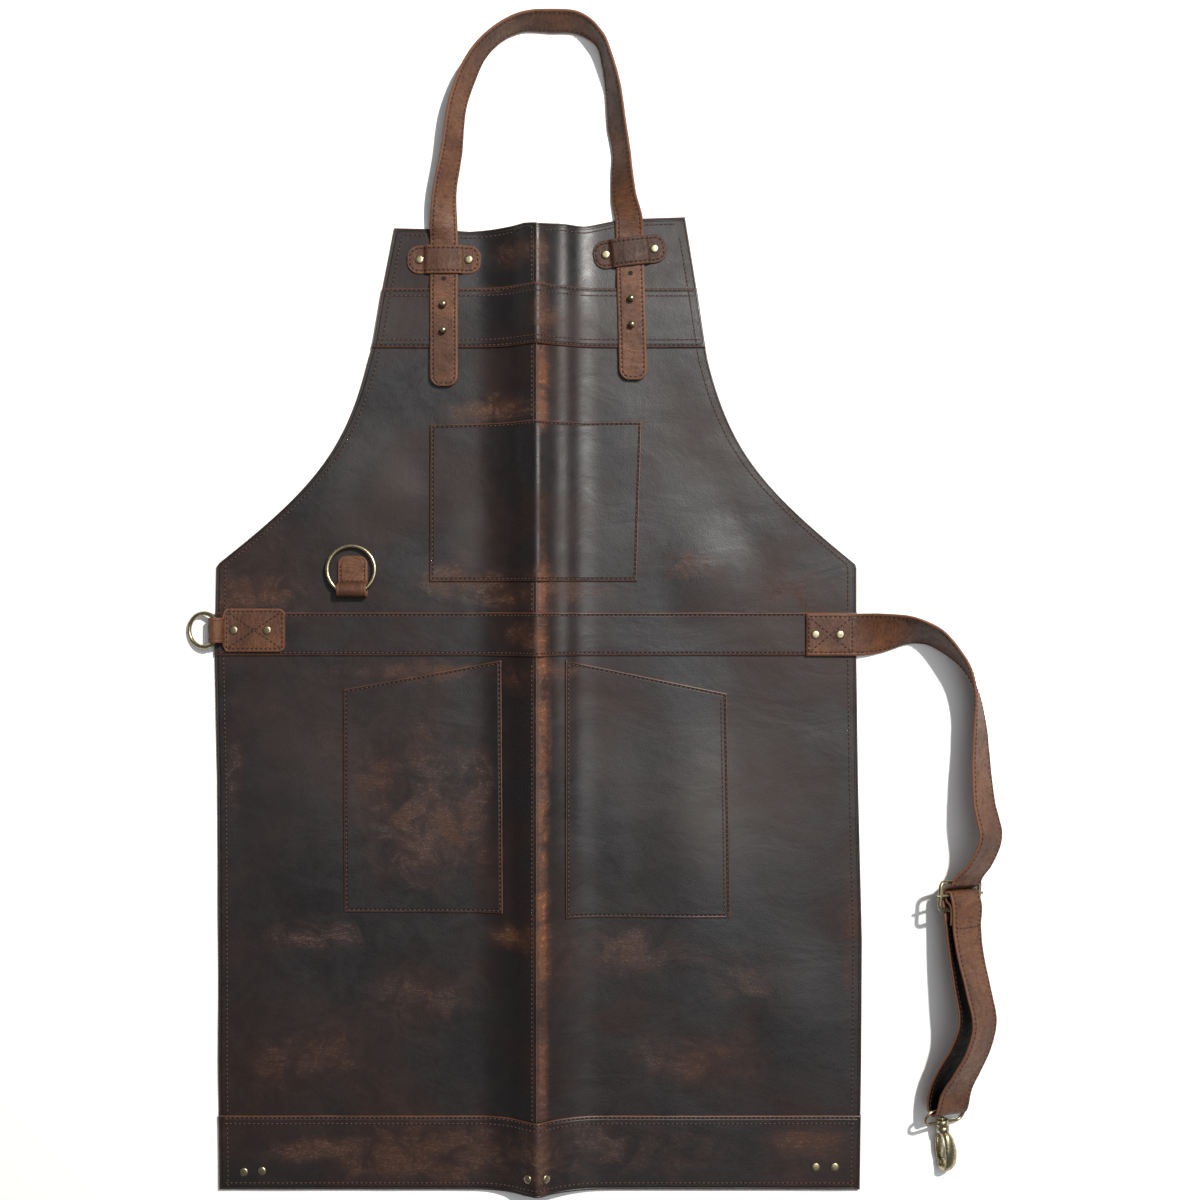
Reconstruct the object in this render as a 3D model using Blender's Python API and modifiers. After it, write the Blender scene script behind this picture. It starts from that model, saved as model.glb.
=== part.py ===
"""Leather blacksmith apron lying front up on a floor, in metres, +Z up.

Apron coordinates run from the middle of the hem: +X to the wearer's left, which is the viewer's right,
+Y up the apron to the neck strap and +Z off the floor. An empty carries every piece, and sets the
middle of the whole object's outline over the origin.
"""

from math import ceil, cos, degrees, hypot, pi, radians, sin, sqrt

import bmesh
import bpy
import numpy as np
from mathutils import Matrix, Vector

# Whole apron
APRON_WIDTH = 0.610
APRON_LENGTH = 0.914
LEATHER = 0.0020
GAP = 0.0003
PLY = LEATHER + GAP
SEAM_LAP = 0.011

# Outline beside the armholes: shares of half the width, and of the length
SIDE_COLUMNS = ("height", "left", "right")
SIDE_ROWS = (
    (0.000, 0.992, 1.003),
    (0.133, 0.997, 1.009),
    (0.258, 0.997, 1.011),
    (0.425, 1.000, 0.999),
    (0.550, 1.008, 0.994),
    (0.649, 1.003, 0.994),
)
ARMHOLE_HANDLES = ((0.694, 0.730), (0.600, 0.769))
ARMHOLE_TOP = (0.530, 0.862)
BIB_ROWS = (
    (0.883, 0.511, 0.519),
    (0.940, 0.483, 0.494),
    (1.000, 0.448, 0.459),
)
BIB_RISE_RIGHT = 0.0115

# Fold along the middle, as left by storing the apron folded in two
RIDGE_HALF_WIDTH = 0.0535
RIDGE_POWER = 1.8
CREST_RADIUS = 0.0025
RIDGE_HEIGHT = 0.026
RIDGE_COLUMNS = ("height", "rise")
RIDGE_ROWS = (
    (-0.05, 0.72),
    (0.0, 0.76),
    (0.2, 0.92),
    (0.5, 1.00),
    (0.8, 1.00),
    (1.0, 1.08),
    (1.1, 1.10),
)
CREST_STOPS = (0.004, 0.013, 0.024, 0.038)
LAP_STOPS = (-0.024, -0.013, 0.004, 0.013)

# Soft swells in the skirt: places and radii as shares of the width and the length
SWELL_HEIGHT = 0.004
# across, up, radius across, radius up, rise
SWELL_ROWS = (
    (-0.36, 0.40, 0.12, 0.13, 0.9),
    (-0.40, 0.16, 0.09, 0.10, 0.6),
    (0.24, 0.36, 0.10, 0.16, 1.0),
    (0.40, 0.18, 0.09, 0.12, 0.7),
    (0.27, 0.64, 0.09, 0.07, 0.7),
    (-0.23, 0.725, 0.07, 0.045, 0.6),
)
CELL = 0.046

# Bands and pockets sewn on the panels, in shares of the width and the length
CHEST_BAND = (0.875, 0.937)
WAIST_BAND = (0.555, 0.600)
HEM_BAND_TOP = 0.077
CHEST_POCKET = ((-0.1687, 0.6321), (0.1546, 0.6321), (0.1625, 0.7987), (-0.1679, 0.7954))
HIP_POCKET_LEFT = ((-0.3013, 0.2886), (-0.0539, 0.2876), (-0.0562, 0.5503), (-0.3030, 0.5200))
HIP_POCKET_RIGHT = ((0.0438, 0.2829), (0.3007, 0.2824), (0.2951, 0.5159), (0.0438, 0.5503))

# Neck strap: legs flat on the bib, the loop leaning on its inner edge
NECK_STRAP_WIDTH = 0.0265
STRAP_THICKNESS = 0.0026
STRAP_END_RADIUS = 0.010
STRAP_SPACING = 0.018
TURN_STEP = 18.0
NECK_LEFT_X = -0.1461 * APRON_WIDTH
NECK_RIGHT_X = 0.1489 * APRON_WIDTH
NECK_RIGHT_SLANT = 0.027
NECK_LEFT_TAIL = 0.0368
NECK_RIGHT_TAIL = 0.0308
NECK_LOOP_HEIGHT = 0.193
# across, up, tilt in degrees
NECK_ROWS = (
    (-0.0880, 0.16, 38),
    (-0.0810, 0.37, 49),
    (-0.0747, 0.61, 58),
    (-0.0667, 0.73, 60),
    (-0.0548, 0.845, 69),
    (-0.0400, 0.925, 74),
    (-0.0166, 0.990, 70),
    (0.0118, 1.000, 58),
    (0.0400, 0.985, 63),
    (0.0586, 0.910, 76),
    (0.0667, 0.790, 70),
    (0.0714, 0.670, 61),
    (0.0752, 0.490, 53),
    (0.0790, 0.370, 54),
    (0.0800, 0.255, 43),
    (0.0820, 0.140, 28),
)
NECK_REST_HEIGHT = 0.0009
STRAP_EASE = 0.0045

# Keepers, and the ball studs that the strap buttons on
KEEPER_WIDTH = 0.0270
KEEPER_LENGTH = 0.0700
KEEPER_END_RADIUS = 0.0115
KEEPER_RIVET_INSET = 0.0117
KEEPER_STEP = (0.0020, 0.0062)
KEEPER_CROWN = 0.0009
KEEPER_LEFT_Y = 0.9666 * APRON_LENGTH
KEEPER_RIGHT_Y = 0.9748 * APRON_LENGTH
KEEPER_CLEARANCE = 0.0050
KEEPER_RIGHT_TURN = 7.0
HOLE_LEFT_RISE = 0.0086
HOLE_RIGHT_RISE = 0.0140
STUD_DROPS = (0.0246, 0.0493)
STUD_HEAD_RADIUS = 0.00325
STUD_POST_RADIUS = 0.0016
STUD_HOLE_RADIUS = 0.0021

# Rivets
RIVET_RADIUS = 0.00415
RIVET_HEIGHT = 0.0016
# across and up, in shares of the width and the length
HEM_RIVETS = (
    (-0.4574, 0.0187),
    (-0.4292, 0.0198),
    (-0.0141, 0.0187),
    (0.0141, 0.0187),
    (0.4325, 0.0240),
    (0.4621, 0.0240),
)

# Tool ring on the left of the bib
TOOL_RING_WIRE = 0.0020
TOOL_RING_RADIUS = 0.0225
TOOL_RING_AT = (-0.2897 * APRON_WIDTH, 0.6444 * APRON_LENGTH)
TOOL_TAB_WIDTH = 0.0281
TOOL_TAB_OFFSET = 0.0010
TOOL_TAB_LENGTH = 0.0380
TAB_LEATHER = 0.0016
TAB_CORNER = 0.0085
STRIP_LENGTH = 0.090

# Waist ring and its tab
WAIST_RING_WIRE = 0.0021
WAIST_RING_RADIUS = 0.0160
WAIST_RING_RISE = 0.0037
WAIST_RING_INSET = 0.0010
WAIST_TAB_NECK = 0.0235
WAIST_TAB_PATCH = 0.0410
WAIST_TAB_LENGTH = 0.0600
WAIST_TAB_NECK_LENGTH = 0.0045
WAIST_TAB_RIVETS = (0.0159, 0.0476)
FOLD_TRIM = 0.0002

# Waist strap, from its patch on the band to the adjuster; rows start at the apron's right edge and the
# middle of the waist band
WAIST_STRAP_WIDTH = 0.0400
WAIST_STRAP_RISE = -0.0006
PATCH_LENGTH = 0.0507
PATCH_STOPS = (-0.0300, -0.0150, -0.0020)
PATCH_CORNER = 0.005
PATCH_RIVETS = (0.0091, 0.0324)
# across, up, height, heading and tilt in degrees
UPPER_ROWS = (
    (0.0060, -0.0003, 0.0066, 90, 6),
    (0.0212, 0.0008, 0.0098, 89, 22),
    (0.0509, 0.0027, 0.0180, 80, 54),
    (0.0682, -0.0025, 0.0200, 62, 67),
    (0.0836, -0.0148, 0.0214, 46, 79),
    (0.0980, -0.0313, 0.0216, 30, 91),
    (0.1071, -0.0533, 0.0212, 15, 104),
    (0.1108, -0.0828, 0.0203, 4, 117),
    (0.1114, -0.1230, 0.0235, 0, 127),
    (0.1130, -0.1578, 0.0292, 0, 131),
    (0.1175, -0.1903, 0.0345, -1, 134),
    (0.1080, -0.2158, 0.0290, -2, 140),
)

# Adjuster, and the doubled end of the strap that carries the hook
SLIDER_AT = (0.0945, -0.2444, 0.0204)
SLIDER_TILT = 36.0
SLIDER_LENGTH = 0.0260
SLIDER_INNER_WIDTH = 0.0500
SLIDER_WIRE = 0.0020
SLIDER_BAR = 0.0015
SLIDER_STUB = 0.0030
SLIDER_SHIFT = 0.0035
SLIDER_CORNER = 0.0048
LOOP_END = (0.0812, -0.4442, 0.0180)
LOOP_TURN_RADIUS = 0.0065
# along, front, back, tilt in degrees
LOOP_ROWS = (
    (0.14, 0.0080, -0.0010, 38),
    (0.25, 0.0125, 0.0030, 41),
    (0.42, 0.0240, 0.0110, 44),
    (0.58, 0.0330, 0.0180, 45),
    (0.70, 0.0290, 0.0120, 43),
    (0.82, 0.0190, 0.0010, 39),
    (0.93, 0.0090, -0.0060, 34),
)
LOOP_END_TILT = 32.0
FLAP_LENGTH = 0.027

# Swivel hook
BAIL_WIRE = 0.0015
BAIL_WIDTH = 0.0480
BAIL_DEPTH = 0.0152
BOSS_RADIUS = 0.0060
BOSS_LENGTH = 0.0060
PIN_RADIUS = 0.0019
PIN_CLEARANCE = 0.0003
HOOK_TURN = 7.0
HOOK_DROP = 0.0072
HOOK_PITCH = 4.5
HOOK_ROLL = 57.0
HOOK_WIRE = 0.0032
GATE_WIRE = 0.0022
GATE_PIVOT = (0.0153, -0.0062)
SHOULDER = (0.0104, 0.0024)
# along, across
HOOK_ROWS = (
    (0.0085, 0.0000),
    (0.0130, 0.0052),
    (0.0220, 0.0074),
    (0.0320, 0.0072),
    (0.0400, 0.0048),
    (0.0445, 0.0000),
    (0.0425, -0.0055),
    (0.0375, -0.0078),
)
GATE_END = (0.0364, -0.0079)

COLOURS = {
    "panel": ((0.045, 0.038, 0.036), 0.42, 0.0),
    "strap": ((0.19, 0.085, 0.050), 0.55, 0.0),
    "brass": ((0.42, 0.33, 0.17), 0.35, 1.0),
}


def clear_scene():
    for obj in list(bpy.data.objects):
        bpy.data.objects.remove(obj, do_unlink=True)


def new_collection(name):
    made = bpy.data.collections.new(name)
    bpy.context.scene.collection.children.link(made)
    return made


def new_material(name, colour, roughness, metallic):
    made = bpy.data.materials.new(name)
    made.use_nodes = True
    shader = made.node_tree.nodes["Principled BSDF"]
    shader.inputs["Base Color"].default_value = (*colour, 1.0)
    shader.inputs["Roughness"].default_value = roughness
    shader.inputs["Metallic"].default_value = metallic
    return made


clear_scene()
PARTS = new_collection("blacksmith_apron")
CUTTERS = new_collection("apron_cutters")
LAYOUT = bpy.data.objects.new("apron_layout", None)
PARTS.objects.link(LAYOUT)
MATERIALS = {name: new_material(name, *look) for name, look in COLOURS.items()}


def add_part(name, data, material):
    """One sub-part, in apron coordinates under the layout empty."""
    part = bpy.data.objects.new(name, data)
    PARTS.objects.link(part)
    part.parent = LAYOUT
    data.materials.clear()
    data.materials.append(MATERIALS[material])
    return part


def add_cutter(name, data):
    cutter = bpy.data.objects.new(name, data)
    CUTTERS.objects.link(cutter)
    cutter.parent = LAYOUT
    cutter.hide_render = True
    cutter.display_type = "WIRE"
    return cutter


def combine(part, cutter, operation):
    modifier = part.modifiers.new(cutter.name, "BOOLEAN")
    modifier.operation = operation
    modifier.solver = "EXACT"
    modifier.object = cutter


def mesh_from(name, bm):
    bmesh.ops.recalc_face_normals(bm, faces=bm.faces)
    mesh = bpy.data.meshes.new(name)
    bm.to_mesh(mesh)
    bm.free()
    return mesh


def cylinder_mesh(name, radius, start, end, segments=16):
    """A closed cylinder between two points."""
    start, end = Vector(start), Vector(end)
    along = end - start
    turn = along.to_track_quat("Z", "Y").to_matrix().to_4x4()
    bm = bmesh.new()
    bmesh.ops.create_cone(
        bm,
        cap_ends=True,
        segments=segments,
        radius1=radius,
        radius2=radius,
        depth=along.length,
        matrix=Matrix.Translation((start + end) / 2) @ turn,
    )
    return mesh_from(name, bm)


def smooth_path(rows):
    """A smooth curve through the rows, as many close points, and the length run at each."""
    rows = np.array(rows, float)
    chords = np.linalg.norm(np.diff(rows[:, :3], axis=0), axis=1)
    knots = np.concatenate([[0], np.cumsum(chords)])
    slopes = np.gradient(rows, knots, axis=0)
    found = []
    for k, chord in enumerate(chords):
        for t in np.linspace(0, 1, 16, endpoint=False):
            found.append(
                rows[k] * (1 + 2 * t) * (1 - t) ** 2
                + slopes[k] * chord * t * (1 - t) ** 2
                + rows[k + 1] * t**2 * (3 - 2 * t)
                - slopes[k + 1] * chord * t**2 * (1 - t)
            )
    found.append(rows[-1])
    found = np.array(found)
    lengths = np.linalg.norm(np.diff(found[:, :3], axis=0), axis=1)
    return found, np.concatenate([[0], np.cumsum(lengths)])


def picked(path, run, wanted):
    return np.column_stack([np.interp(wanted, run, column) for column in path.T])


def spread(path, run, start, stop, spacing, turn_deg):
    """Lengths from start to stop, closer together where the path turns."""
    steps = np.diff(path[:, :3], axis=0)
    steps /= np.linalg.norm(steps, axis=1)[:, None]
    turns = np.degrees(np.arccos(np.clip((steps[1:] * steps[:-1]).sum(axis=1), -1, 1)))
    sides = path[:, 3:6] / np.linalg.norm(path[:, 3:6], axis=1)[:, None]
    twists = np.degrees(np.arccos(np.clip((sides[1:] * sides[:-1]).sum(axis=1), -1, 1)))
    cost = np.diff(run) / spacing + twists / turn_deg
    cost[1:] += turns / turn_deg
    total = np.concatenate([[0], np.cumsum(cost)])
    low, high = np.interp((start, stop), run, total)
    return np.interp(np.linspace(low, high, max(2, round(high - low)) + 1), total, run)


def table(rows, columns, wanted, at):
    """One column of a table, read by straight lines between its rows of the first column."""
    data = np.array(rows)
    return np.interp(at, data[:, 0], data[:, columns.index(wanted)])


# Height of the lying leather

def ridge_share(x):
    rounded = sqrt(x * x + CREST_RADIUS**2) - CREST_RADIUS
    return max(0.0, 1 - rounded / RIDGE_HALF_WIDTH) ** RIDGE_POWER


def swell(x, y):
    height = 0.0
    for across, up, radius_across, radius_up, rise in SWELL_ROWS:
        away = hypot(
            (x / APRON_WIDTH - across) / radius_across, (y / APRON_LENGTH - up) / radius_up
        )
        if away < 1:
            height += rise * cos(away * pi / 2) ** 2
    return height * SWELL_HEIGHT


def true_height(x, y):
    ridge = RIDGE_HEIGHT * ridge_share(x) * table(RIDGE_ROWS, RIDGE_COLUMNS, "rise", y / APRON_LENGTH)
    return ridge + swell(x, y)


def grid_columns():
    side = [0.0, *CREST_STOPS, RIDGE_HALF_WIDTH]
    count = ceil((APRON_WIDTH * 0.56 - RIDGE_HALF_WIDTH) / CELL)
    side += [RIDGE_HALF_WIDTH + CELL * (i + 1) for i in range(count)]
    return sorted({-x for x in side} | set(side) | set(LAP_STOPS))


def grid_rows():
    return [CELL * i for i in range(-1, ceil(APRON_LENGTH * 1.03 / CELL) + 1)]


GRID_X = grid_columns()
GRID_Y = grid_rows()
GRID_Z = np.array([[true_height(x, y) for y in GRID_Y] for x in GRID_X])


def cell_of(x, y):
    i = min(max(int(np.searchsorted(GRID_X, x, side="right")) - 1, 0), len(GRID_X) - 2)
    j = min(max(int(np.searchsorted(GRID_Y, y, side="right")) - 1, 0), len(GRID_Y) - 2)
    return i, j


def lift(x, y):
    """Height of the leather's underside, flat over each half of a grid cell so that layers nest."""
    i, j = cell_of(x, y)
    u = (x - GRID_X[i]) / (GRID_X[i + 1] - GRID_X[i])
    v = (y - GRID_Y[j]) / (GRID_Y[j + 1] - GRID_Y[j])
    low, far = GRID_Z[i, j], GRID_Z[i + 1, j + 1]
    if u >= v:
        return low + u * (GRID_Z[i + 1, j] - low) + v * (far - GRID_Z[i + 1, j])
    return low + v * (GRID_Z[i, j + 1] - low) + u * (far - GRID_Z[i, j + 1])


def lap(x):
    """Share of one ply by which the seam's overlap raises what lies over it."""
    return float(np.interp(x, LAP_STOPS, (0, 1, 1, 0)))


def layer_height(x, y, layer):
    """Underside of a piece that lies on so many plies."""
    over_seam = lap(x) if layer > 0 else 0.0
    return lift(x, y) + PLY * (layer + over_seam)


# Flat pieces

def cut_all(bm, at, axis):
    normal = Vector((1, 0, 0)) if axis == 0 else Vector((0, 1, 0))
    low = min(v.co[axis] for v in bm.verts)
    high = max(v.co[axis] for v in bm.verts)
    for value in at:
        if low < value < high:
            geometry = bm.verts[:] + bm.edges[:] + bm.faces[:]
            bmesh.ops.bisect_plane(
                bm, geom=geometry, dist=1e-6, plane_co=normal * value, plane_no=normal
            )


def cut_diagonals(bm):
    cells = {}
    for face in bm.faces:
        middle = face.calc_center_median()
        cells.setdefault(cell_of(middle.x, middle.y), []).append(face)
    for (i, j), faces in cells.items():
        corner = Vector((GRID_X[i], GRID_Y[j], 0))
        along = Vector((GRID_X[i + 1], GRID_Y[j + 1], 0)) - corner
        edges = {edge for face in faces for edge in face.edges}
        verts = {vert for face in faces for vert in face.verts}
        bmesh.ops.bisect_plane(
            bm,
            geom=[*verts, *edges, *faces],
            dist=1e-6,
            plane_co=corner,
            plane_no=Vector((along.y, -along.x, 0)),
        )


def lay_sheet(name, outline, layer, thickness, material, lapped=False):
    """A flat outline cut along the height grid, draped on it and given its thickness upward."""
    bm = bmesh.new()
    bm.faces.new([bm.verts.new((x, y, 0)) for x, y in outline])
    cut_all(bm, GRID_X, 0)
    cut_all(bm, GRID_Y, 1)
    cut_diagonals(bm)
    for vert in bm.verts:
        extra = PLY * lap(vert.co.x) if lapped else 0.0
        vert.co.z = layer_height(vert.co.x, vert.co.y, layer) + extra
    top = bmesh.ops.extrude_face_region(bm, geom=bm.faces[:])
    for item in top["geom"]:
        if isinstance(item, bmesh.types.BMVert):
            item.co.z += thickness
    return add_part(name, mesh_from(name, bm), material)


def bezier(points, t):
    a, b, c, d = (Vector(p) for p in points)
    return a * (1 - t) ** 3 + b * 3 * t * (1 - t) ** 2 + c * 3 * t * t * (1 - t) + d * t**3


def side_outline(side):
    """Outline points of one side, hem to top corner, in metres."""
    column = "right" if side > 0 else "left"
    at = SIDE_COLUMNS.index(column)
    shares = [(row[at], row[0]) for row in SIDE_ROWS]
    armhole = (shares[-1], *ARMHOLE_HANDLES, ARMHOLE_TOP)
    shares += [tuple(bezier(armhole, i / 10)) for i in range(1, 11)]
    shares += [(row[at], row[0]) for row in BIB_ROWS]
    if side > 0:
        shares[-1] = (shares[-1][0], shares[-1][1] + BIB_RISE_RIGHT)
    half = APRON_WIDTH / 2
    return [(side * width * half, height * APRON_LENGTH) for width, height in shares]


LEFT_SIDE = side_outline(-1)
RIGHT_SIDE = side_outline(1)
STRAP_ROOT = Vector((APRON_WIDTH / 2, (WAIST_BAND[0] + WAIST_BAND[1]) / 2 * APRON_LENGTH, 0))


def edge_x(side, y):
    points = RIGHT_SIDE if side > 0 else LEFT_SIDE
    return float(np.interp(y, [p[1] for p in points], [p[0] for p in points]))


def side_between(side, low, high):
    """The side's outline from one height to another."""
    points = RIGHT_SIDE if side > 0 else LEFT_SIDE
    inside = [p for p in points if low < p[1] < high]
    return [(edge_x(side, low), low), *inside, (edge_x(side, high), high)]


def make_panels():
    top_left = LEFT_SIDE[-1][1]
    crest_top = APRON_LENGTH * 0.998
    left = [(0.0005, 0.0), (0.0005, crest_top), *reversed(LEFT_SIDE)]
    lay_sheet("panel_left", left, 0, LEATHER, "panel", lapped=True)
    dip = (APRON_WIDTH * 0.09, top_left)
    right = [(-SEAM_LAP, 0.0), *RIGHT_SIDE, dip, (-SEAM_LAP, crest_top)]
    lay_sheet("panel_right", right, 0, LEATHER, "panel")


def make_band(name, low, high):
    left = side_between(-1, low, high)
    right = side_between(1, low, high)
    lay_sheet(name, [*right, *reversed(left)], 1, LEATHER, "panel")


def make_pocket(name, corners):
    outline = [(across * APRON_WIDTH, up * APRON_LENGTH) for across, up in corners]
    lay_sheet(name, outline, 1, LEATHER, "panel")


def make_bands_and_pockets():
    make_band("chest_band", *(share * APRON_LENGTH for share in CHEST_BAND))
    make_band("waist_band", *(share * APRON_LENGTH for share in WAIST_BAND))
    make_band("hem_band", 0.0, HEM_BAND_TOP * APRON_LENGTH)
    make_pocket("chest_pocket", CHEST_POCKET)
    make_pocket("hip_pocket_left", HIP_POCKET_LEFT)
    make_pocket("hip_pocket_right", HIP_POCKET_RIGHT)


# Straps: an open ribbon with Solidify

def half_width(width, corner, from_start, to_end):
    """Half the strap's width near its rounded ends."""
    near = min(from_start if corner[0] else 1.0, to_end if corner[1] else 1.0)
    radius = max(corner)
    if near >= radius:
        return width / 2
    return width / 2 - radius + sqrt(max(radius**2 - (radius - near) ** 2, 0.0))


def ribbon(name, rows, width, thickness, spacing, corner, material):
    """A strap through rows of centre and width direction; corner holds the radius at each end."""
    dense, along = smooth_path(rows)
    length, radius = along[-1], max(corner)
    ends = [radius * (1 - cos(radians(a))) for a in (0, 30, 60)]
    first = ends if corner[0] else []
    last = [length - d for d in reversed(ends)] if corner[1] else []
    start = radius if corner[0] else 0.0
    stop = length - radius if corner[1] else length
    run = np.array([*first, *spread(dense, along, start, stop, spacing, TURN_STEP), *last])
    path = picked(dense, along, run)
    bm = bmesh.new()
    bmesh.ops.create_grid(bm, x_segments=len(path) - 1, y_segments=1, size=1)
    for vert in bm.verts:
        k = round((vert.co.x + 1) / 2 * (len(path) - 1))
        centre, side = Vector(path[k, :3]), Vector(path[k, 3:6]).normalized()
        reach = half_width(width, corner, run[k], run[-1] - run[k])
        vert.co = centre + side * reach * vert.co.y
    mesh = bpy.data.meshes.new(name)
    bm.to_mesh(mesh)
    bm.free()
    strap = add_part(name, mesh, material)
    shell = strap.modifiers.new("leather", "SOLIDIFY")
    shell.thickness = thickness
    shell.offset = 0
    shell.use_even_offset = True
    return strap


def leaning(heading, tilt):
    """The width direction of a strap, from its heading and its rise in degrees."""
    h, t = radians(heading), radians(tilt)
    return (cos(h) * cos(t), sin(h) * cos(t), sin(t))


def right_leg_x(y):
    """The right leg slants a little inward on its way up."""
    return NECK_RIGHT_X - NECK_RIGHT_SLANT * (y - CHEST_BAND[0] * APRON_LENGTH + NECK_RIGHT_TAIL)


def neck_rows():
    lying = PLY + STRAP_THICKNESS / 2
    on_band = lying + PLY
    band_low = CHEST_BAND[0] * APRON_LENGTH
    band_high = CHEST_BAND[1] * APRON_LENGTH
    half = NECK_STRAP_WIDTH / 2

    def over_edge(tilt):
        """Clear of the bib's top edge when it leans this far."""
        return lying + half * sin(radians(tilt)) + 2 * GAP

    rows = []
    keeper_low, keeper_high = KEEPER_LEFT_Y - KEEPER_WIDTH / 2, KEEPER_LEFT_Y + KEEPER_WIDTH / 2
    for y, height, tilt in (
        (band_low - NECK_LEFT_TAIL, on_band, 0),
        (band_low, on_band, 0),
        (band_high - STRAP_EASE, on_band, 0),
        (band_high + 0.001, on_band, 0),
        (keeper_low - KEEPER_CLEARANCE, lying + 2 * GAP, 0),
        (keeper_low, lying, 0),
        (keeper_low + STRAP_EASE, lying, 0),
        (keeper_high - STRAP_EASE, lying, 0),
        (keeper_high, lying, 0),
        (keeper_high + STRAP_EASE, lying + GAP, 0),
        (APRON_LENGTH, over_edge(13), 13),
    ):
        rows.append((NECK_LEFT_X, y, height, *leaning(180, tilt)))
    loop = []
    for x, share, tilt in NECK_ROWS:
        up = sin(radians(tilt)) * NECK_STRAP_WIDTH / 2
        thick = cos(radians(tilt)) * STRAP_THICKNESS / 2
        loop.append([x, APRON_LENGTH + share * NECK_LOOP_HEIGHT, up + thick + NECK_REST_HEIGHT, tilt])
    for k, (x, y, z, tilt) in enumerate(loop):
        before = loop[max(k - 1, 0)]
        after = loop[min(k + 1, len(loop) - 1)]
        run = Vector((after[0] - before[0], after[1] - before[1]))
        heading = degrees(run.angle_signed(Vector((1, 0)))) + 90
        rows.append((x, y, z, *leaning(heading, tilt)))
    keeper_low, keeper_high = KEEPER_RIGHT_Y - KEEPER_WIDTH / 2, KEEPER_RIGHT_Y + KEEPER_WIDTH / 2
    for y, height, tilt in (
        (APRON_LENGTH + 0.007, over_edge(8), 8),
        (keeper_high + STRAP_EASE, lying + GAP, 0),
        (keeper_high, lying, 0),
        (keeper_high - STRAP_EASE, lying, 0),
        (keeper_low + STRAP_EASE, lying, 0),
        (keeper_low, lying, 0),
        (keeper_low - KEEPER_CLEARANCE, lying + 2 * GAP, 0),
        (band_high + 0.001, on_band, 0),
        (band_high - STRAP_EASE, on_band, 0),
        (band_low, on_band, 0),
        (band_low - NECK_RIGHT_TAIL, on_band, 0),
    ):
        rows.append((right_leg_x(y), y, height, *leaning(0, tilt)))
    return rows


def stud_places():
    """Name, x and y of each ball stud, and of the spare hole above each pair."""
    for side, rise in (("left", HOLE_LEFT_RISE), ("right", HOLE_RIGHT_RISE)):
        for place, drop in zip(("hole", "stud_upper", "stud_lower"), (0, *STUD_DROPS)):
            y = CHEST_BAND[1] * APRON_LENGTH + rise - drop
            yield f"{place}_{side}", NECK_LEFT_X if side == "left" else right_leg_x(y), y


def make_neck_strap():
    corner = (STRAP_END_RADIUS, STRAP_END_RADIUS)
    strap = ribbon("neck_strap", neck_rows(), NECK_STRAP_WIDTH, STRAP_THICKNESS, STRAP_SPACING, corner, "strap")
    for name, x, y in stud_places():
        mesh = cylinder_mesh(name, STUD_HOLE_RADIUS, (x, y, 0.001), (x, y, 0.014), 12)
        combine(strap, add_cutter(f"cut_{name}", mesh), "DIFFERENCE")


def turned(name, profile, steps, material, place):
    """A profile of radius and height turned about its own axis."""
    mesh = bpy.data.meshes.new(name)
    mesh.from_pydata([(r, 0, z) for r, z in profile], [(k, k + 1) for k in range(len(profile) - 1)], [])
    part = add_part(name, mesh, material)
    part.matrix_local = place
    screw = part.modifiers.new("turn", "SCREW")
    screw.steps = steps
    screw.render_steps = steps
    screw.use_merge_vertices = True
    screw.merge_threshold = 0.00001
    screw.use_smooth_shade = True
    return part


def seat(x, y, layer):
    """Place on the leather's top at x, y: height on so many plies, upright to the slope there."""
    step = 0.002
    slope_x = (layer_height(x + step, y, layer) - layer_height(x - step, y, layer)) / (2 * step)
    slope_y = (layer_height(x, y + step, layer) - layer_height(x, y - step, layer)) / (2 * step)
    normal = Vector((-slope_x, -slope_y, 1)).normalized()
    place = Vector((x, y, layer_height(x, y, layer)))
    return Matrix.Translation(place) @ normal.to_track_quat("Z", "Y").to_matrix().to_4x4()


def rivet(name, place):
    r, h = RIVET_RADIUS, RIVET_HEIGHT
    profile = ((0, h), (0.6 * r, 0.9 * h), (r, 0.3 * h), (r, 0), (0, 0))
    turned(name, profile, 12, "brass", place)


def make_studs():
    ball, post = STUD_HEAD_RADIUS, STUD_POST_RADIUS
    middle = STRAP_THICKNESS + 3 * GAP + sqrt(ball**2 - post**2)
    angles = [radians(a) for a in (90, 60, 30, 0, -30)]
    profile = [(ball * cos(a), middle + ball * sin(a)) for a in angles]
    profile[0] = (0, middle + ball)
    neck = middle - sqrt(ball**2 - post**2)
    profile += [(post, neck), (post, 0), (0, 0)]
    for name, x, y in stud_places():
        if name.startswith("stud"):
            turned(name, profile, 14, "brass", Matrix.Translation((x, y, layer_height(x, y, 2))))


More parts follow.
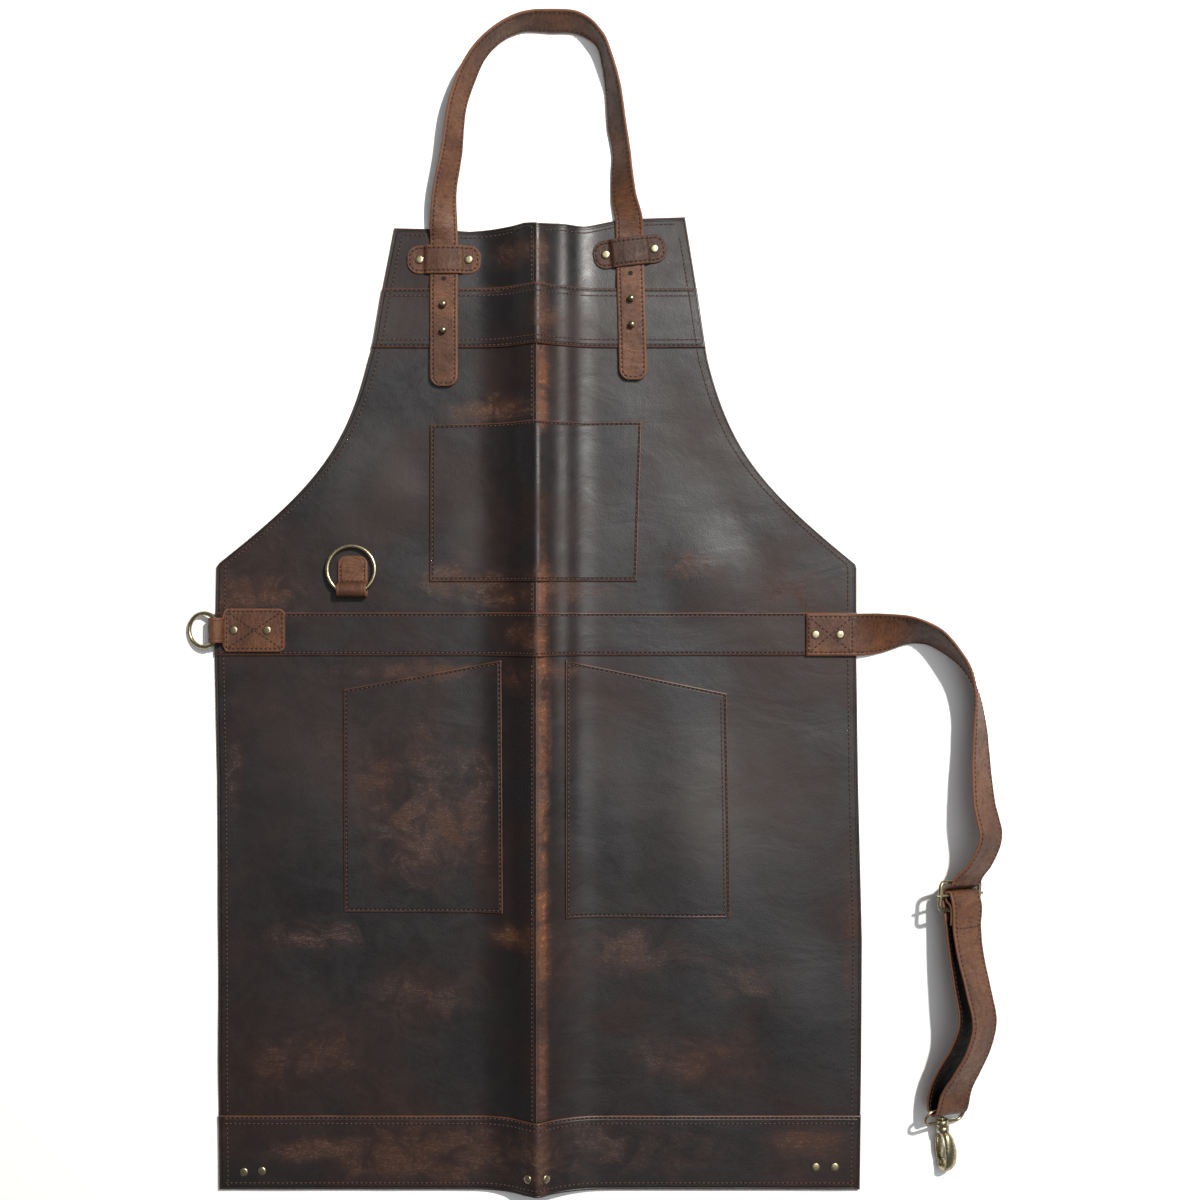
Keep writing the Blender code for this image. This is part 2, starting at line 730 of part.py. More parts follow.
def make_keeper(name, x, y, turn_deg):
    """A strip bridging the strap, riveted down at both ends."""
    low = PLY + LEATHER / 2
    high = low + STRAP_THICKNESS + GAP
    half, bridge = KEEPER_LENGTH / 2, NECK_STRAP_WIDTH / 2
    turn = radians(turn_deg)
    side = (-sin(turn), cos(turn), 0)
    rows = []
    for along in np.linspace(-half, half, 61):
        share = np.clip((bridge + KEEPER_STEP[1] - abs(along)) / (KEEPER_STEP[1] - KEEPER_STEP[0]), 0, 1)
        crown = KEEPER_CROWN * max(0.0, 1 - (along / bridge) ** 2)
        height = low + (high - low) * share**2 * (3 - 2 * share) + crown
        rows.append((x + along * cos(turn), y + along * sin(turn), height, *side))
    corner = (KEEPER_END_RADIUS, KEEPER_END_RADIUS)
    ribbon(name, rows, KEEPER_WIDTH, LEATHER, STRAP_SPACING, corner, "strap")
    for place, sign in (("left", -1), ("right", 1)):
        along = sign * (half - KEEPER_RIVET_INSET)
        at = Matrix.Translation((x + along * cos(turn), y + along * sin(turn), 2 * PLY))
        rivet(f"rivet_{name}_{place}", at)


def make_hem_rivets():
    for k, (x, y) in enumerate(HEM_RIVETS):
        rivet(f"rivet_hem_{k + 1}", seat(x * APRON_WIDTH, y * APRON_LENGTH, 2))


# Leather tabs folded round a ring

def plan_prism(name, outline, low, high):
    """A cutter with this outline from above."""
    bm = bmesh.new()
    bm.faces.new([bm.verts.new((x, y, low)) for x, y in outline])
    top = bmesh.ops.extrude_face_region(bm, geom=bm.faces[:])
    for item in top["geom"]:
        if isinstance(item, bmesh.types.BMVert):
            item.co.z = high
    return add_cutter(name, mesh_from(name, bm))


def rounded(corners, radii, steps=4):
    """A polygon whose corners are rounded by tangent arcs."""
    found = []
    count = len(corners)
    for k, radius in enumerate(radii):
        here = Vector(corners[k])
        to_last = (Vector(corners[k - 1]) - here).normalized()
        to_next = (Vector(corners[(k + 1) % count]) - here).normalized()
        if radius == 0:
            found.append(tuple(here))
            continue
        half = to_last.angle(to_next) / 2
        centre = here + (to_last + to_next).normalized() * (radius / sin(half))
        start = here + to_last * (radius / np.tan(half)) - centre
        sweep = (here + to_next * (radius / np.tan(half)) - centre).angle_signed(start)
        for i in range(steps + 1):
            turned_by = Matrix.Rotation(sweep * i / steps, 2)
            found.append(tuple(centre + turned_by @ start))
    return found


def folded_tab(name, axis, hole, long_way, width, fold_width, plan):
    """Two plies that run from a loop round the ring's wire: the loop's outside and its tunnel, joined to
    the doubled strip and trimmed to the plan's outline."""
    outer = hole + TAB_LEATHER
    axis, long_way = Vector(axis), Vector(long_way).normalized()
    across = Vector((0, 0, 1)).cross(long_way)
    reach = across * fold_width / 2
    body = add_part(name, cylinder_mesh(name, outer, axis - reach, axis + reach, 20), "strap")
    bm = bmesh.new()
    bmesh.ops.create_cube(bm, size=1)
    strip_height = 2 * TAB_LEATHER
    for vert in bm.verts:
        out = long_way * (vert.co.x + 0.5) * STRIP_LENGTH
        side = across * vert.co.y * width * 1.1
        vert.co = axis + out + side + Vector((0, 0, -outer + (vert.co.z + 0.5) * strip_height))
    combine(body, add_cutter(f"{name}_strip", mesh_from(name, bm)), "UNION")
    tunnel = cylinder_mesh(name, hole, axis - reach * 1.5, axis + reach * 1.5, 20)
    combine(body, add_cutter(f"{name}_tunnel", tunnel), "DIFFERENCE")
    low, high = axis.z - outer - 0.002, axis.z + outer + 0.002
    combine(body, plan_prism(f"{name}_plan", plan, low, high), "INTERSECT")
    return body


def ring(name, major, minor, place):
    bpy.ops.mesh.primitive_torus_add(
        major_radius=major, minor_radius=minor, major_segments=30, minor_segments=8
    )
    made = bpy.context.object
    mesh = made.data
    mesh.name = name
    mesh.shade_smooth()
    bpy.data.objects.remove(made)
    part = add_part(name, mesh, "brass")
    part.matrix_local = place
    return part


def tunnel(radius, wire, half):
    """For a ring in a straight fold of this half width: how far its outermost wire runs from the hinge
    axis, and the fold's inner radius, which clears the wire at any turn."""
    bow = radius - sqrt(radius**2 - half**2)
    slant = radius / sqrt(radius**2 - half**2)
    reach = (bow + wire * (slant - 1)) / 2
    return reach, reach + wire + GAP


def make_tool_ring():
    """The ring lies on its tab, hinged in the fold at the tab's lower end."""
    x, y = TOOL_RING_AT
    widest = TOOL_TAB_WIDTH / 2 + TOOL_TAB_OFFSET
    reach, hole = tunnel(TOOL_RING_RADIUS, TOOL_RING_WIRE, widest)
    axis_y = y - TOOL_RING_RADIUS + reach
    middle = x + TOOL_TAB_OFFSET
    height = PLY + hole + TAB_LEATHER
    half = TOOL_TAB_WIDTH / 2
    bottom = axis_y - hole - TAB_LEATHER - 0.001
    top = axis_y + TOOL_TAB_LENGTH - hole
    corners = ((middle - half, bottom), (middle + half, bottom), (middle + half, top), (middle - half, top))
    plan = rounded(corners, (0, 0, TAB_CORNER, TAB_CORNER))
    fold = TOOL_TAB_WIDTH - FOLD_TRIM * 2
    folded_tab("tool_ring_tab", (middle, axis_y, height), hole, (0, 1, 0), TOOL_TAB_WIDTH, fold, plan)
    drop = hole - TAB_LEATHER - TOOL_RING_WIRE - GAP
    lean = np.arcsin(drop / (TOOL_TAB_LENGTH - hole))
    place = Matrix.Translation((x, axis_y, height)) @ Matrix.Rotation(-lean, 4, "X")
    centre = Matrix.Translation((0, y - axis_y, 0))
    made = ring("tool_ring", TOOL_RING_RADIUS, TOOL_RING_WIRE, place)
    made.data.transform(centre)


def make_waist_ring():
    """The ring leans from its fold down to the floor, clear of the apron's edge."""
    reach, hole = tunnel(WAIST_RING_RADIUS, WAIST_RING_WIRE, WAIST_TAB_NECK / 2)
    outer = hole + TAB_LEATHER
    height = 2 * PLY + outer
    axis_x = WAIST_RING_INSET - APRON_WIDTH / 2
    neck, patch = WAIST_TAB_NECK / 2, WAIST_TAB_PATCH / 2
    left = axis_x - outer - 0.001
    shoulder = axis_x + WAIST_TAB_NECK_LENGTH
    right = shoulder + WAIST_TAB_LENGTH
    y = STRAP_ROOT.y + WAIST_RING_RISE
    corners = (
        (left, y - neck),
        (shoulder - 0.0015, y - neck),
        (shoulder + 0.0005, y - patch),
        (right, y - patch),
        (right, y + patch),
        (shoulder + 0.0005, y + patch),
        (shoulder - 0.0015, y + neck),
        (left, y + neck),
    )
    plan = rounded(corners, (0, 0, 0.0035, 0.0065, 0.0065, 0.0035, 0, 0))
    fold = WAIST_TAB_NECK - FOLD_TRIM * 2
    folded_tab("waist_ring_tab", (axis_x, y, height), hole, (1, 0, 0), WAIST_TAB_PATCH, fold, plan)
    offset = WAIST_RING_RADIUS - reach
    far = WAIST_RING_RADIUS + offset
    lean = np.arcsin((height - WAIST_RING_WIRE - 0.0004) / far)
    place = Matrix.Translation((axis_x, y, height)) @ Matrix.Rotation(-lean, 4, "Y")
    made = ring("waist_ring", WAIST_RING_RADIUS, WAIST_RING_WIRE, place)
    made.data.transform(Matrix.Translation((-offset, 0, 0)))
    top = 2 * PLY + 2 * TAB_LEATHER + GAP
    for place_name, inset in zip(("left", "right"), WAIST_TAB_RIVETS):
        rivet(f"rivet_ring_tab_{place_name}", Matrix.Translation((axis_x + inset, y, top)))


# Waist strap, adjuster and hook

def loop_frame(tilt):
    """Directions along the doubled end, across the strap and out of its front, at a tilt in degrees."""
    along = (Vector(LOOP_END) - Vector(SLIDER_AT)).normalized()
    level = Vector((0, 0, 1)).cross(along).normalized()
    t = radians(180 - tilt)
    across = level * cos(t) + Vector((0, 0, 1)) * sin(t)
    out = level * sin(t) - Vector((0, 0, 1)) * cos(t)
    return along, across, out


def loop_point(along, out, tilt):
    """A strap row at a distance along the doubled end and out from its chord."""
    start = STRAP_ROOT + Vector(SLIDER_AT)
    run, across, front = loop_frame(tilt)
    return (*(start + run * along + front * out), *across)


def waist_strap_rows():
    flat = 2 * PLY + STRAP_THICKNESS / 2
    y = STRAP_ROOT.y + WAIST_STRAP_RISE
    rows = [(STRAP_ROOT.x + x, y, flat, *leaning(90, 0)) for x in (-PATCH_LENGTH, *PATCH_STOPS)]
    for across, up, height, heading, tilt in UPPER_ROWS:
        rows.append((STRAP_ROOT.x + across, STRAP_ROOT.y + up, height, *leaning(heading, tilt)))
    half_leather = STRAP_THICKNESS / 2
    over = SLIDER_WIRE + 3 * GAP + half_leather
    bar = SLIDER_BAR + 2 * GAP + half_leather
    end = SLIDER_LENGTH / 2
    tilt = SLIDER_TILT
    rows.append(loop_point(-end - 0.0009, over + 0.0003, tilt))
    rows.append(loop_point(-end + 0.0026, over - 0.0008, tilt))
    rows.append(loop_point(-end + 0.0046, 0.0, tilt))
    rows.append(loop_point(-0.0035, -bar - STRAP_THICKNESS - 0.0004, tilt))
    rows.append(loop_point(0.003, -bar - STRAP_THICKNESS - 0.0012, tilt))
    rows.append(loop_point(end, -over - 0.0006, tilt))
    length = (Vector(LOOP_END) - Vector(SLIDER_AT)).length
    for along, front, back, lean in LOOP_ROWS:
        rows.append(loop_point(along * length, back, lean))
    for turn in (-90, -45, 0, 45, 90):
        reach = length + LOOP_TURN_RADIUS * cos(radians(turn))
        rows.append(loop_point(reach, LOOP_TURN_RADIUS * sin(radians(turn)), LOOP_END_TILT))
    for along, front, back, lean in reversed(LOOP_ROWS):
        rows.append(loop_point(along * length, front, lean))
    rows.append(loop_point(end, over + STRAP_THICKNESS + GAP + 0.0004, tilt))
    rows.append(loop_point(end / 2, over + 0.0019, tilt))
    for turn in (80, 130, 180, 230):
        rows.append(loop_point(bar * cos(radians(turn)), bar * sin(radians(turn)), tilt))
    rows.append(loop_point(0.0045, -bar + 0.0009, tilt))
    rows.append(loop_point(end - 0.0037, over - 0.0006, tilt))
    rows.append(loop_point(end, over + 0.0004, tilt))
    rows.append(loop_point(FLAP_LENGTH, over + 0.0012, tilt))
    return rows


def make_waist_strap():
    rows = waist_strap_rows()
    corner = (PATCH_CORNER, 0)
    ribbon("waist_strap", rows, WAIST_STRAP_WIDTH, STRAP_THICKNESS, STRAP_SPACING, corner, "strap")
    left, y = rows[0][:2]
    for place, inset in zip(("left", "right"), PATCH_RIVETS):
        at = Matrix.Translation((left + inset, y, 2 * PLY + STRAP_THICKNESS + GAP))
        rivet(f"rivet_patch_{place}", at)


def wire_mesh(name, points, radius, closed, sides=2):
    """A round wire through points, as a closed mesh."""
    curve = bpy.data.curves.new(name, "CURVE")
    curve.dimensions = "3D"
    curve.bevel_depth = radius
    curve.bevel_resolution = sides
    curve.use_fill_caps = True
    spline = curve.splines.new("POLY")
    spline.points.add(len(points) - 1)
    for point, place in zip(spline.points, points):
        point.co = (*place, 1)
    spline.use_cyclic_u = closed
    guide = bpy.data.objects.new(name, curve)
    CUTTERS.objects.link(guide)
    graph = bpy.context.evaluated_depsgraph_get()
    mesh = bpy.data.meshes.new_from_object(guide.evaluated_get(graph))
    bpy.data.objects.remove(guide)
    bm = bmesh.new()
    bm.from_mesh(mesh)
    bmesh.ops.remove_doubles(bm, verts=bm.verts, dist=1e-6)
    bmesh.ops.recalc_face_normals(bm, faces=bm.faces)
    bm.to_mesh(mesh)
    bm.free()
    return mesh


def frame_points(half_long, half_wide, corner):
    """A rounded rectangle, long way along X, in its own plane."""
    corners = (
        (half_long, half_wide),
        (-half_long, half_wide),
        (-half_long, -half_wide),
        (half_long, -half_wide),
    )
    return [(x, y, 0) for x, y in rounded(corners, (corner,) * 4, 5)]


def make_slider():
    """A wire frame with a bar across its middle, whose ends stand proud of the frame."""
    along, across, out = loop_frame(SLIDER_TILT)
    centre = STRAP_ROOT + Vector(SLIDER_AT) + across * SLIDER_SHIFT
    turn = Matrix((across, along, across.cross(along))).transposed().to_4x4()
    place = Matrix.Translation(centre) @ turn
    half_long = SLIDER_INNER_WIDTH / 2 + SLIDER_WIRE
    frame = wire_mesh("slider", frame_points(half_long, SLIDER_LENGTH / 2, SLIDER_CORNER), SLIDER_WIRE, True)
    part = add_part("slider", frame, "brass")
    part.matrix_local = place
    end = half_long + SLIDER_WIRE + SLIDER_STUB
    bar = add_cutter("slider_bar", cylinder_mesh("slider_bar", SLIDER_BAR, (-end, 0, 0), (end, 0, 0), 12))
    bar.matrix_local = place
    combine(part, bar, "UNION")


def bail_frame():
    """Place of the bail's bar in the strap's turn: X along the bar, Y toward the hook."""
    along, across, out = loop_frame(LOOP_END_TILT)
    slack = LOOP_TURN_RADIUS - STRAP_THICKNESS / 2 - 3 * GAP - BAIL_WIRE
    bar = STRAP_ROOT + Vector(LOOP_END) + along * slack
    down = (along * BAIL_DEPTH - Vector((0, 0, HOOK_DROP))).normalized()
    down = (down - across * down.dot(across)).normalized()
    turn = Matrix((across, down, across.cross(down))).transposed().to_4x4()
    return Matrix.Translation(bar) @ turn


def hook_frame():
    """Place of the swivel's centre: Y down the shank, X across the hook, spine side positive."""
    centre = bail_frame() @ Vector((0, BAIL_DEPTH, 0))
    turn, roll, pitch = radians(HOOK_TURN), radians(HOOK_ROLL), radians(HOOK_PITCH)
    down = Vector((sin(turn) * cos(pitch), -cos(turn) * cos(pitch), -sin(pitch)))
    level = Vector((cos(turn), sin(turn), 0))
    across = level * cos(roll) + down.cross(level) * sin(roll)
    frame = Matrix((across, down, across.cross(down))).transposed().to_4x4()
    return Matrix.Translation(centre) @ frame


def make_bail():
    place = bail_frame()
    corners = ((BAIL_WIDTH / 2, 0), (-BAIL_WIDTH / 2, 0), (-BAIL_WIDTH / 2, BAIL_DEPTH), (BAIL_WIDTH / 2, BAIL_DEPTH))
    points = [(x, y, 0) for x, y in rounded(corners, (BAIL_DEPTH * 0.45,) * 4, 5)]
    part = add_part("hook_bail", wire_mesh("hook_bail", points, BAIL_WIRE, True), "brass")
    part.matrix_local = place
    swivel = hook_frame()
    half = BOSS_LENGTH / 2
    boss = add_cutter("bail_boss", cylinder_mesh("bail_boss", BOSS_RADIUS, (0, -half, 0), (0, half, 0), 18))
    boss.matrix_local = swivel
    combine(part, boss, "UNION")
    reach = half + 0.004
    hole = cylinder_mesh("bail_hole", PIN_RADIUS + PIN_CLEARANCE, (0, -reach, 0), (0, reach, 0), 14)
    cutter = add_cutter("bail_hole", hole)
    cutter.matrix_local = swivel
    combine(part, cutter, "DIFFERENCE")


def make_hook():
    """The body turns on a pin through the bail's boss; its head holds it from inside."""
    place = hook_frame()
    half = BOSS_LENGTH / 2
    rows = [(x, y, 0) for y, x in HOOK_ROWS]
    dense, along = smooth_path(rows)
    path = picked(dense, along, np.linspace(0, along[-1], 16))
    body = add_part("hook_body", wire_mesh("hook_body", path[:, :3], HOOK_WIRE, False), "brass")
    body.matrix_local = place
    pieces = (
        ("hook_pin", PIN_RADIUS, -half - 0.0020, 0.0095),
        ("hook_head", PIN_RADIUS * 1.7, -half - GAP - 0.0016, -half - GAP),
        ("hook_collar", BOSS_RADIUS, half + GAP, half + 0.0062),
    )
    shoulder_y, shoulder_radius = SHOULDER
    meshes = [(name, cylinder_mesh(name, r, (0, low, 0), (0, high, 0))) for name, r, low, high in pieces]
    lug = (GATE_PIVOT[1], shoulder_y, 0)
    meshes.append(("hook_shoulder", cylinder_mesh("hook_shoulder", shoulder_radius, (0, 0.0085, 0), lug)))
    for name, mesh in meshes:
        cutter = add_cutter(name, mesh)
        cutter.matrix_local = place
        combine(body, cutter, "UNION")
    make_gate(place)


def make_gate(place):
    """A sprung bar from the hook's shoulder to just short of its nose."""
    start = Vector((GATE_PIVOT[1], GATE_PIVOT[0], 0))
    run = Vector((GATE_END[1], GATE_END[0], 0)) - start
    turn = run.to_track_quat("Z", "Y").to_matrix().to_4x4()
    knuckle = [(GATE_WIRE * cos(radians(a)), -GATE_WIRE * sin(radians(a))) for a in (0, 30, 60)]
    profile = ((0, run.length), (GATE_WIRE, run.length), *knuckle, (0, -GATE_WIRE))
    turned("hook_gate", profile, 12, "brass", place @ Matrix.Translation(start) @ turn)


def centre_over_origin():
    """Sets the layout so that the middle of the outline, from above, is over the origin."""
    bpy.context.view_layer.update()
    graph = bpy.context.evaluated_depsgraph_get()
    corners = []
    for part in PARTS.objects:
        if part.type == "MESH":
            evaluated = part.evaluated_get(graph)
            corners += [evaluated.matrix_world @ Vector(c) for c in evaluated.bound_box]
    low = [min(c[axis] for c in corners) for axis in range(2)]
    high = [max(c[axis] for c in corners) for axis in range(2)]
    LAYOUT.location = (-(low[0] + high[0]) / 2, -(low[1] + high[1]) / 2, 0)


make_panels()
make_bands_and_pockets()
make_neck_strap()
make_studs()
make_keeper("keeper_left", NECK_LEFT_X, KEEPER_LEFT_Y, 0.0)
make_keeper("keeper_right", right_leg_x(KEEPER_RIGHT_Y), KEEPER_RIGHT_Y, KEEPER_RIGHT_TURN)
make_hem_rivets()
make_tool_ring()
make_waist_ring()
make_waist_strap()
make_slider()
make_bail()
make_hook()
centre_over_origin()
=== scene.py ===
"""Looks of a leather blacksmith apron lying front up on a pale floor, in metres.

Shapes are worked out in apron coordinates, from the middle of the hem: +X to the viewer's right, +Y up the
apron and +Z off the floor. SHIFT carries them to the frame's origin.
"""

from math import ceil, cos, degrees, pi, radians, sin, sqrt

import bpy
import numpy as np
from mathutils import Matrix, Vector, noise


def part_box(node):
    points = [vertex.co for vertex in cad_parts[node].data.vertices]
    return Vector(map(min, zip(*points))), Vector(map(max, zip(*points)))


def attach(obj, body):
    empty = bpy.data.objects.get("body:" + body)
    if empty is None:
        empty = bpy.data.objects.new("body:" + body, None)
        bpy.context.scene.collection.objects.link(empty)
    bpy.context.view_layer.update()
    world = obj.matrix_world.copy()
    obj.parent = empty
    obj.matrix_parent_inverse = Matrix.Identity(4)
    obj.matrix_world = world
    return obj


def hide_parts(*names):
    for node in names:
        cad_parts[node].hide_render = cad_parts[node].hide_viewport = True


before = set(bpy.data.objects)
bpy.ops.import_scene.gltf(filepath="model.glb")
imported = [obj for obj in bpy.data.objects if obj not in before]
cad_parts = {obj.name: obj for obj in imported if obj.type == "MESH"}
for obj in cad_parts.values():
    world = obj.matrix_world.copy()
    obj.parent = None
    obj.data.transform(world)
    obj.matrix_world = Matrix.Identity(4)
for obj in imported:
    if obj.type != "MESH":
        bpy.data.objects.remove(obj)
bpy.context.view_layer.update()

# Sizes shared with the solids
APRON_WIDTH = 0.610
APRON_LENGTH = 0.914
LEATHER = 0.0020
GAP = 0.0003
PLY = LEATHER + GAP
SEAM_LAP = 0.011
PANEL_EDGE_X = 0.0005
SHIFT = Vector((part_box("panel_left")[1][0] - PANEL_EDGE_X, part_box("panel_left")[0][1], 0.0))

# Shares up the apron and of its half width, left and right
SIDE_ROWS = (
    (0.000, 0.992, 1.003),
    (0.133, 0.997, 1.009),
    (0.258, 0.997, 1.011),
    (0.425, 1.000, 0.999),
    (0.550, 1.008, 0.994),
    (0.649, 1.003, 0.994),
)
ARMHOLE_HANDLES = ((0.694, 0.730), (0.600, 0.769))
ARMHOLE_TOP = (0.530, 0.862)
ARMHOLE_STEPS = 40
BIB_ROWS = ((0.883, 0.511, 0.519), (0.940, 0.483, 0.494), (1.000, 0.448, 0.459))
BIB_RISE_RIGHT = 0.0115
CREST_TOP = 0.998

RIDGE_HALF_WIDTH = 0.0535
RIDGE_POWER = 1.8
RIDGE_SOFTNESS = 0.14
CREST_RADIUS = 0.0025
RIDGE_HEIGHT = 0.026
# Share up the apron and of the ridge's height
RIDGE_ROWS = ((-0.05, 0.72), (0.0, 0.76), (0.2, 0.92), (0.5, 1.00), (0.8, 1.00), (1.0, 1.08), (1.1, 1.10))
LAP_STOPS = (-0.024, -0.013, 0.004, 0.013)
SWELL_HEIGHT = 0.004
# Swells: across, up, radius across, radius up, rise
SWELL_ROWS = (
    (-0.36, 0.40, 0.12, 0.13, 0.9),
    (-0.40, 0.16, 0.09, 0.10, 0.6),
    (0.24, 0.36, 0.10, 0.16, 1.0),
    (0.40, 0.18, 0.09, 0.12, 0.7),
    (0.27, 0.64, 0.09, 0.07, 0.7),
    (-0.23, 0.725, 0.07, 0.045, 0.6),
)

CHEST_BAND = (0.875, 0.937)
WAIST_BAND = (0.555, 0.600)
HEM_BAND_TOP = 0.077
CHEST_POCKET = ((-0.1029, 0.5777), (0.0943, 0.5777), (0.0991, 0.7300), (-0.1024, 0.7270))
HIP_POCKET_LEFT = ((-0.1838, 0.2638), (-0.0329, 0.2629), (-0.0343, 0.5030), (-0.1848, 0.4753))
HIP_POCKET_RIGHT = ((0.0267, 0.2586), (0.1834, 0.2581), (0.1800, 0.4715), (0.0267, 0.5030))

NECK_STRAP_WIDTH = 0.0265
STRAP_THICKNESS = 0.0026
STRAP_END_RADIUS = 0.010
NECK_LEFT_X = -0.0891
NECK_RIGHT_X = 0.0908
NECK_RIGHT_SLANT = 0.027
NECK_LEFT_END = 0.763
NECK_RIGHT_END = 0.769
NECK_LOOP_HEIGHT = 0.193
# Neck loop: across, share up the loop, tilt in degrees
NECK_ROWS = (
    (-0.0880, 0.16, 38),
    (-0.0810, 0.37, 49),
    (-0.0747, 0.61, 58),
    (-0.0667, 0.73, 60),
    (-0.0548, 0.845, 69),
    (-0.0400, 0.925, 74),
    (-0.0166, 0.990, 70),
    (0.0118, 1.000, 58),
    (0.0400, 0.985, 63),
    (0.0586, 0.910, 76),
    (0.0667, 0.790, 70),
    (0.0714, 0.670, 61),
    (0.0752, 0.490, 53),
    (0.0790, 0.370, 54),
    (0.0800, 0.255, 43),
    (0.0820, 0.140, 28),
)
NECK_REST_HEIGHT = 0.0009
STRAP_EASE = 0.0045
SPAN_STEPS = 16
KEEPER_WIDTH = 0.0270
KEEPER_LENGTH = 0.0700
KEEPER_END_RADIUS = 0.0115
KEEPER_RIVET_INSET = 0.0117
KEEPER_STEP = (0.0020, 0.0062)
KEEPER_CROWN = 0.0009
KEEPER_Y = 0.8835
KEEPER_RIGHT_Y = 0.8910
KEEPER_RIGHT_TURN = 7.0
HOLE_LEFT_Y = 0.8650
HOLE_RIGHT_Y = 0.8704
STUD_DROPS = (0.0246, 0.0493)
STUD_HEAD_RADIUS = 0.00325
STUD_POST_RADIUS = 0.0016
RIVET_RADIUS = 0.00415
RIVET_HEIGHT = 0.0016
RIVET_SUNK = 0.0002
HEM_RIVETS = (
    (-0.2790, 0.0171),
    (-0.2618, 0.0181),
    (-0.0086, 0.0171),
    (0.0086, 0.0171),
    (0.2638, 0.0219),
    (0.2819, 0.0219),
)

TOOL_RING_WIRE = 0.0020
TOOL_RING_RADIUS = 0.0225
TOOL_RING_AT = (-0.1767, 0.5890)
TOOL_TAB_WIDTH = 0.0281
TOOL_TAB_OFFSET = 0.0010
TOOL_TAB_LENGTH = 0.0380
TAB_LEATHER = 0.0016
TAB_CORNER = 0.0085
TAB_INSET = 0.0028
WAIST_RING_WIRE = 0.0021
WAIST_RING_RADIUS = 0.0160
WAIST_Y = 0.5315
WAIST_RING_AXIS_X = -0.3040
WAIST_TAB_NECK = 0.0235
WAIST_TAB_PATCH = 0.0410
WAIST_TAB_LENGTH = 0.0600
WAIST_TAB_NECK_LENGTH = 0.0045
WAIST_TAB_RIVETS = (-0.2881, -0.2564)

WAIST_STRAP_WIDTH = 0.0400
WAIST_STRAP_Y = (WAIST_BAND[0] + WAIST_BAND[1]) / 2 * APRON_LENGTH - 0.0006
PATCH_LEFT = 0.2543
PATCH_RIVETS = (0.2634, 0.2867)
# Waist strap down to its slider: across, up, height, heading and tilt in degrees
UPPER_ROWS = (
    (0.3110, 0.5275, 0.0066, 90, 6),
    (0.3262, 0.5286, 0.0098, 89, 22),
    (0.3559, 0.5305, 0.0180, 80, 54),
    (0.3732, 0.5253, 0.0200, 62, 67),
    (0.3886, 0.5130, 0.0214, 46, 79),
    (0.4030, 0.4965, 0.0216, 30, 91),
    (0.4121, 0.4745, 0.0212, 15, 104),
    (0.4158, 0.4450, 0.0203, 4, 117),
    (0.4164, 0.4048, 0.0235, 0, 127),
    (0.4180, 0.3700, 0.0292, 0, 131),
    (0.4225, 0.3375, 0.0345, -1, 134),
    (0.4130, 0.3120, 0.0290, -2, 140),
)
SLIDER_AT = (0.3995, 0.2834, 0.0204)
SLIDER_TILT = 36.0
SLIDER_LENGTH = 0.0260
SLIDER_INNER_WIDTH = 0.0500
SLIDER_WIRE = 0.0020
SLIDER_BAR = 0.0015
SLIDER_STUB = 0.0030
SLIDER_SHIFT = 0.0035
SLIDER_CORNER = 0.0048
LOOP_END = (0.3862, 0.0836, 0.0180)
LOOP_TURN_RADIUS = 0.0065
# Doubled end: share along, front ply, back ply, tilt in degrees
LOOP_ROWS = (
    (0.14, 0.0080, -0.0010, 38),
    (0.25, 0.0125, 0.0030, 41),
    (0.42, 0.0240, 0.0110, 44),
    (0.58, 0.0330, 0.0180, 45),
    (0.70, 0.0290, 0.0120, 43),
    (0.82, 0.0190, 0.0010, 39),
    (0.93, 0.0090, -0.0060, 34),
)
LOOP_END_TILT = 32.0
FLAP_LENGTH = 0.027

BAIL_WIRE = 0.0015
BAIL_WIDTH = 0.0480
BAIL_DEPTH = 0.0152
BOSS_RADIUS = 0.0060
BOSS_LENGTH = 0.0060
PIN_RADIUS = 0.0019
HOOK_TURN = 7.0
HOOK_DROP = 0.0072
HOOK_PITCH = 4.5
HOOK_ROLL = 57.0
HOOK_WIRE = 0.0032
GATE_WIRE = 0.0022
GATE_PIVOT = (0.0153, -0.0062)
SHOULDER = (0.0104, 0.0024)
# The hook's curve: along, across
HOOK_ROWS = (
    (0.0085, 0.0000),
    (0.0130, 0.0052),
    (0.0220, 0.0074),
    (0.0320, 0.0072),
    (0.0400, 0.0048),
    (0.0445, 0.0000),
    (0.0425, -0.0055),
    (0.0375, -0.0078),
)
GATE_END = (0.0364, -0.0079)

RING_STEPS = 72
CORNER_STEPS = 8
COLLAR_STEPS = 28

# Looks
SEWN_STEP = 0.0035
BAND_ROWS = (0.0022, 0.0075)
STITCH_PITCH = 0.0044
STITCH_LENGTH = 0.0029
STITCH_WIDTH = 0.0012
STITCH_LIFT = 0.00022
THREAD_SHOULDER = 0.32
THREAD_PROUD = 0.00035
THREAD_SUNK = 0.0004
THREAD_END_SUNK = 0.0002
HOLE_LONG = 0.0006
HOLE_WIDE = 0.0007
HOLE_DEEP = 0.0006
HOLE_BEYOND = 0.0001
HOLE_LIFT = 0.00006
TOP_STITCH_INSET = 0.0065
SEAM_STITCH_X = -0.0048
POCKET_STITCH_INSET = 0.0026
POCKET_SECOND_ROW = 0.0062
NECK_STITCH_INSET = 0.0030
WAIST_STITCH_INSET = 0.0032
PATCH_BOX = (0.0030, 0.0440)
LOOP_STITCH_RUNS = (0.0190, 0.0300)
EDGE_STOPS = (0.0005, 0.0016)
EDGE_ROUNDING = 0.0007
EDGE_LIFT = 0.0003
ROW_STEP = 0.003
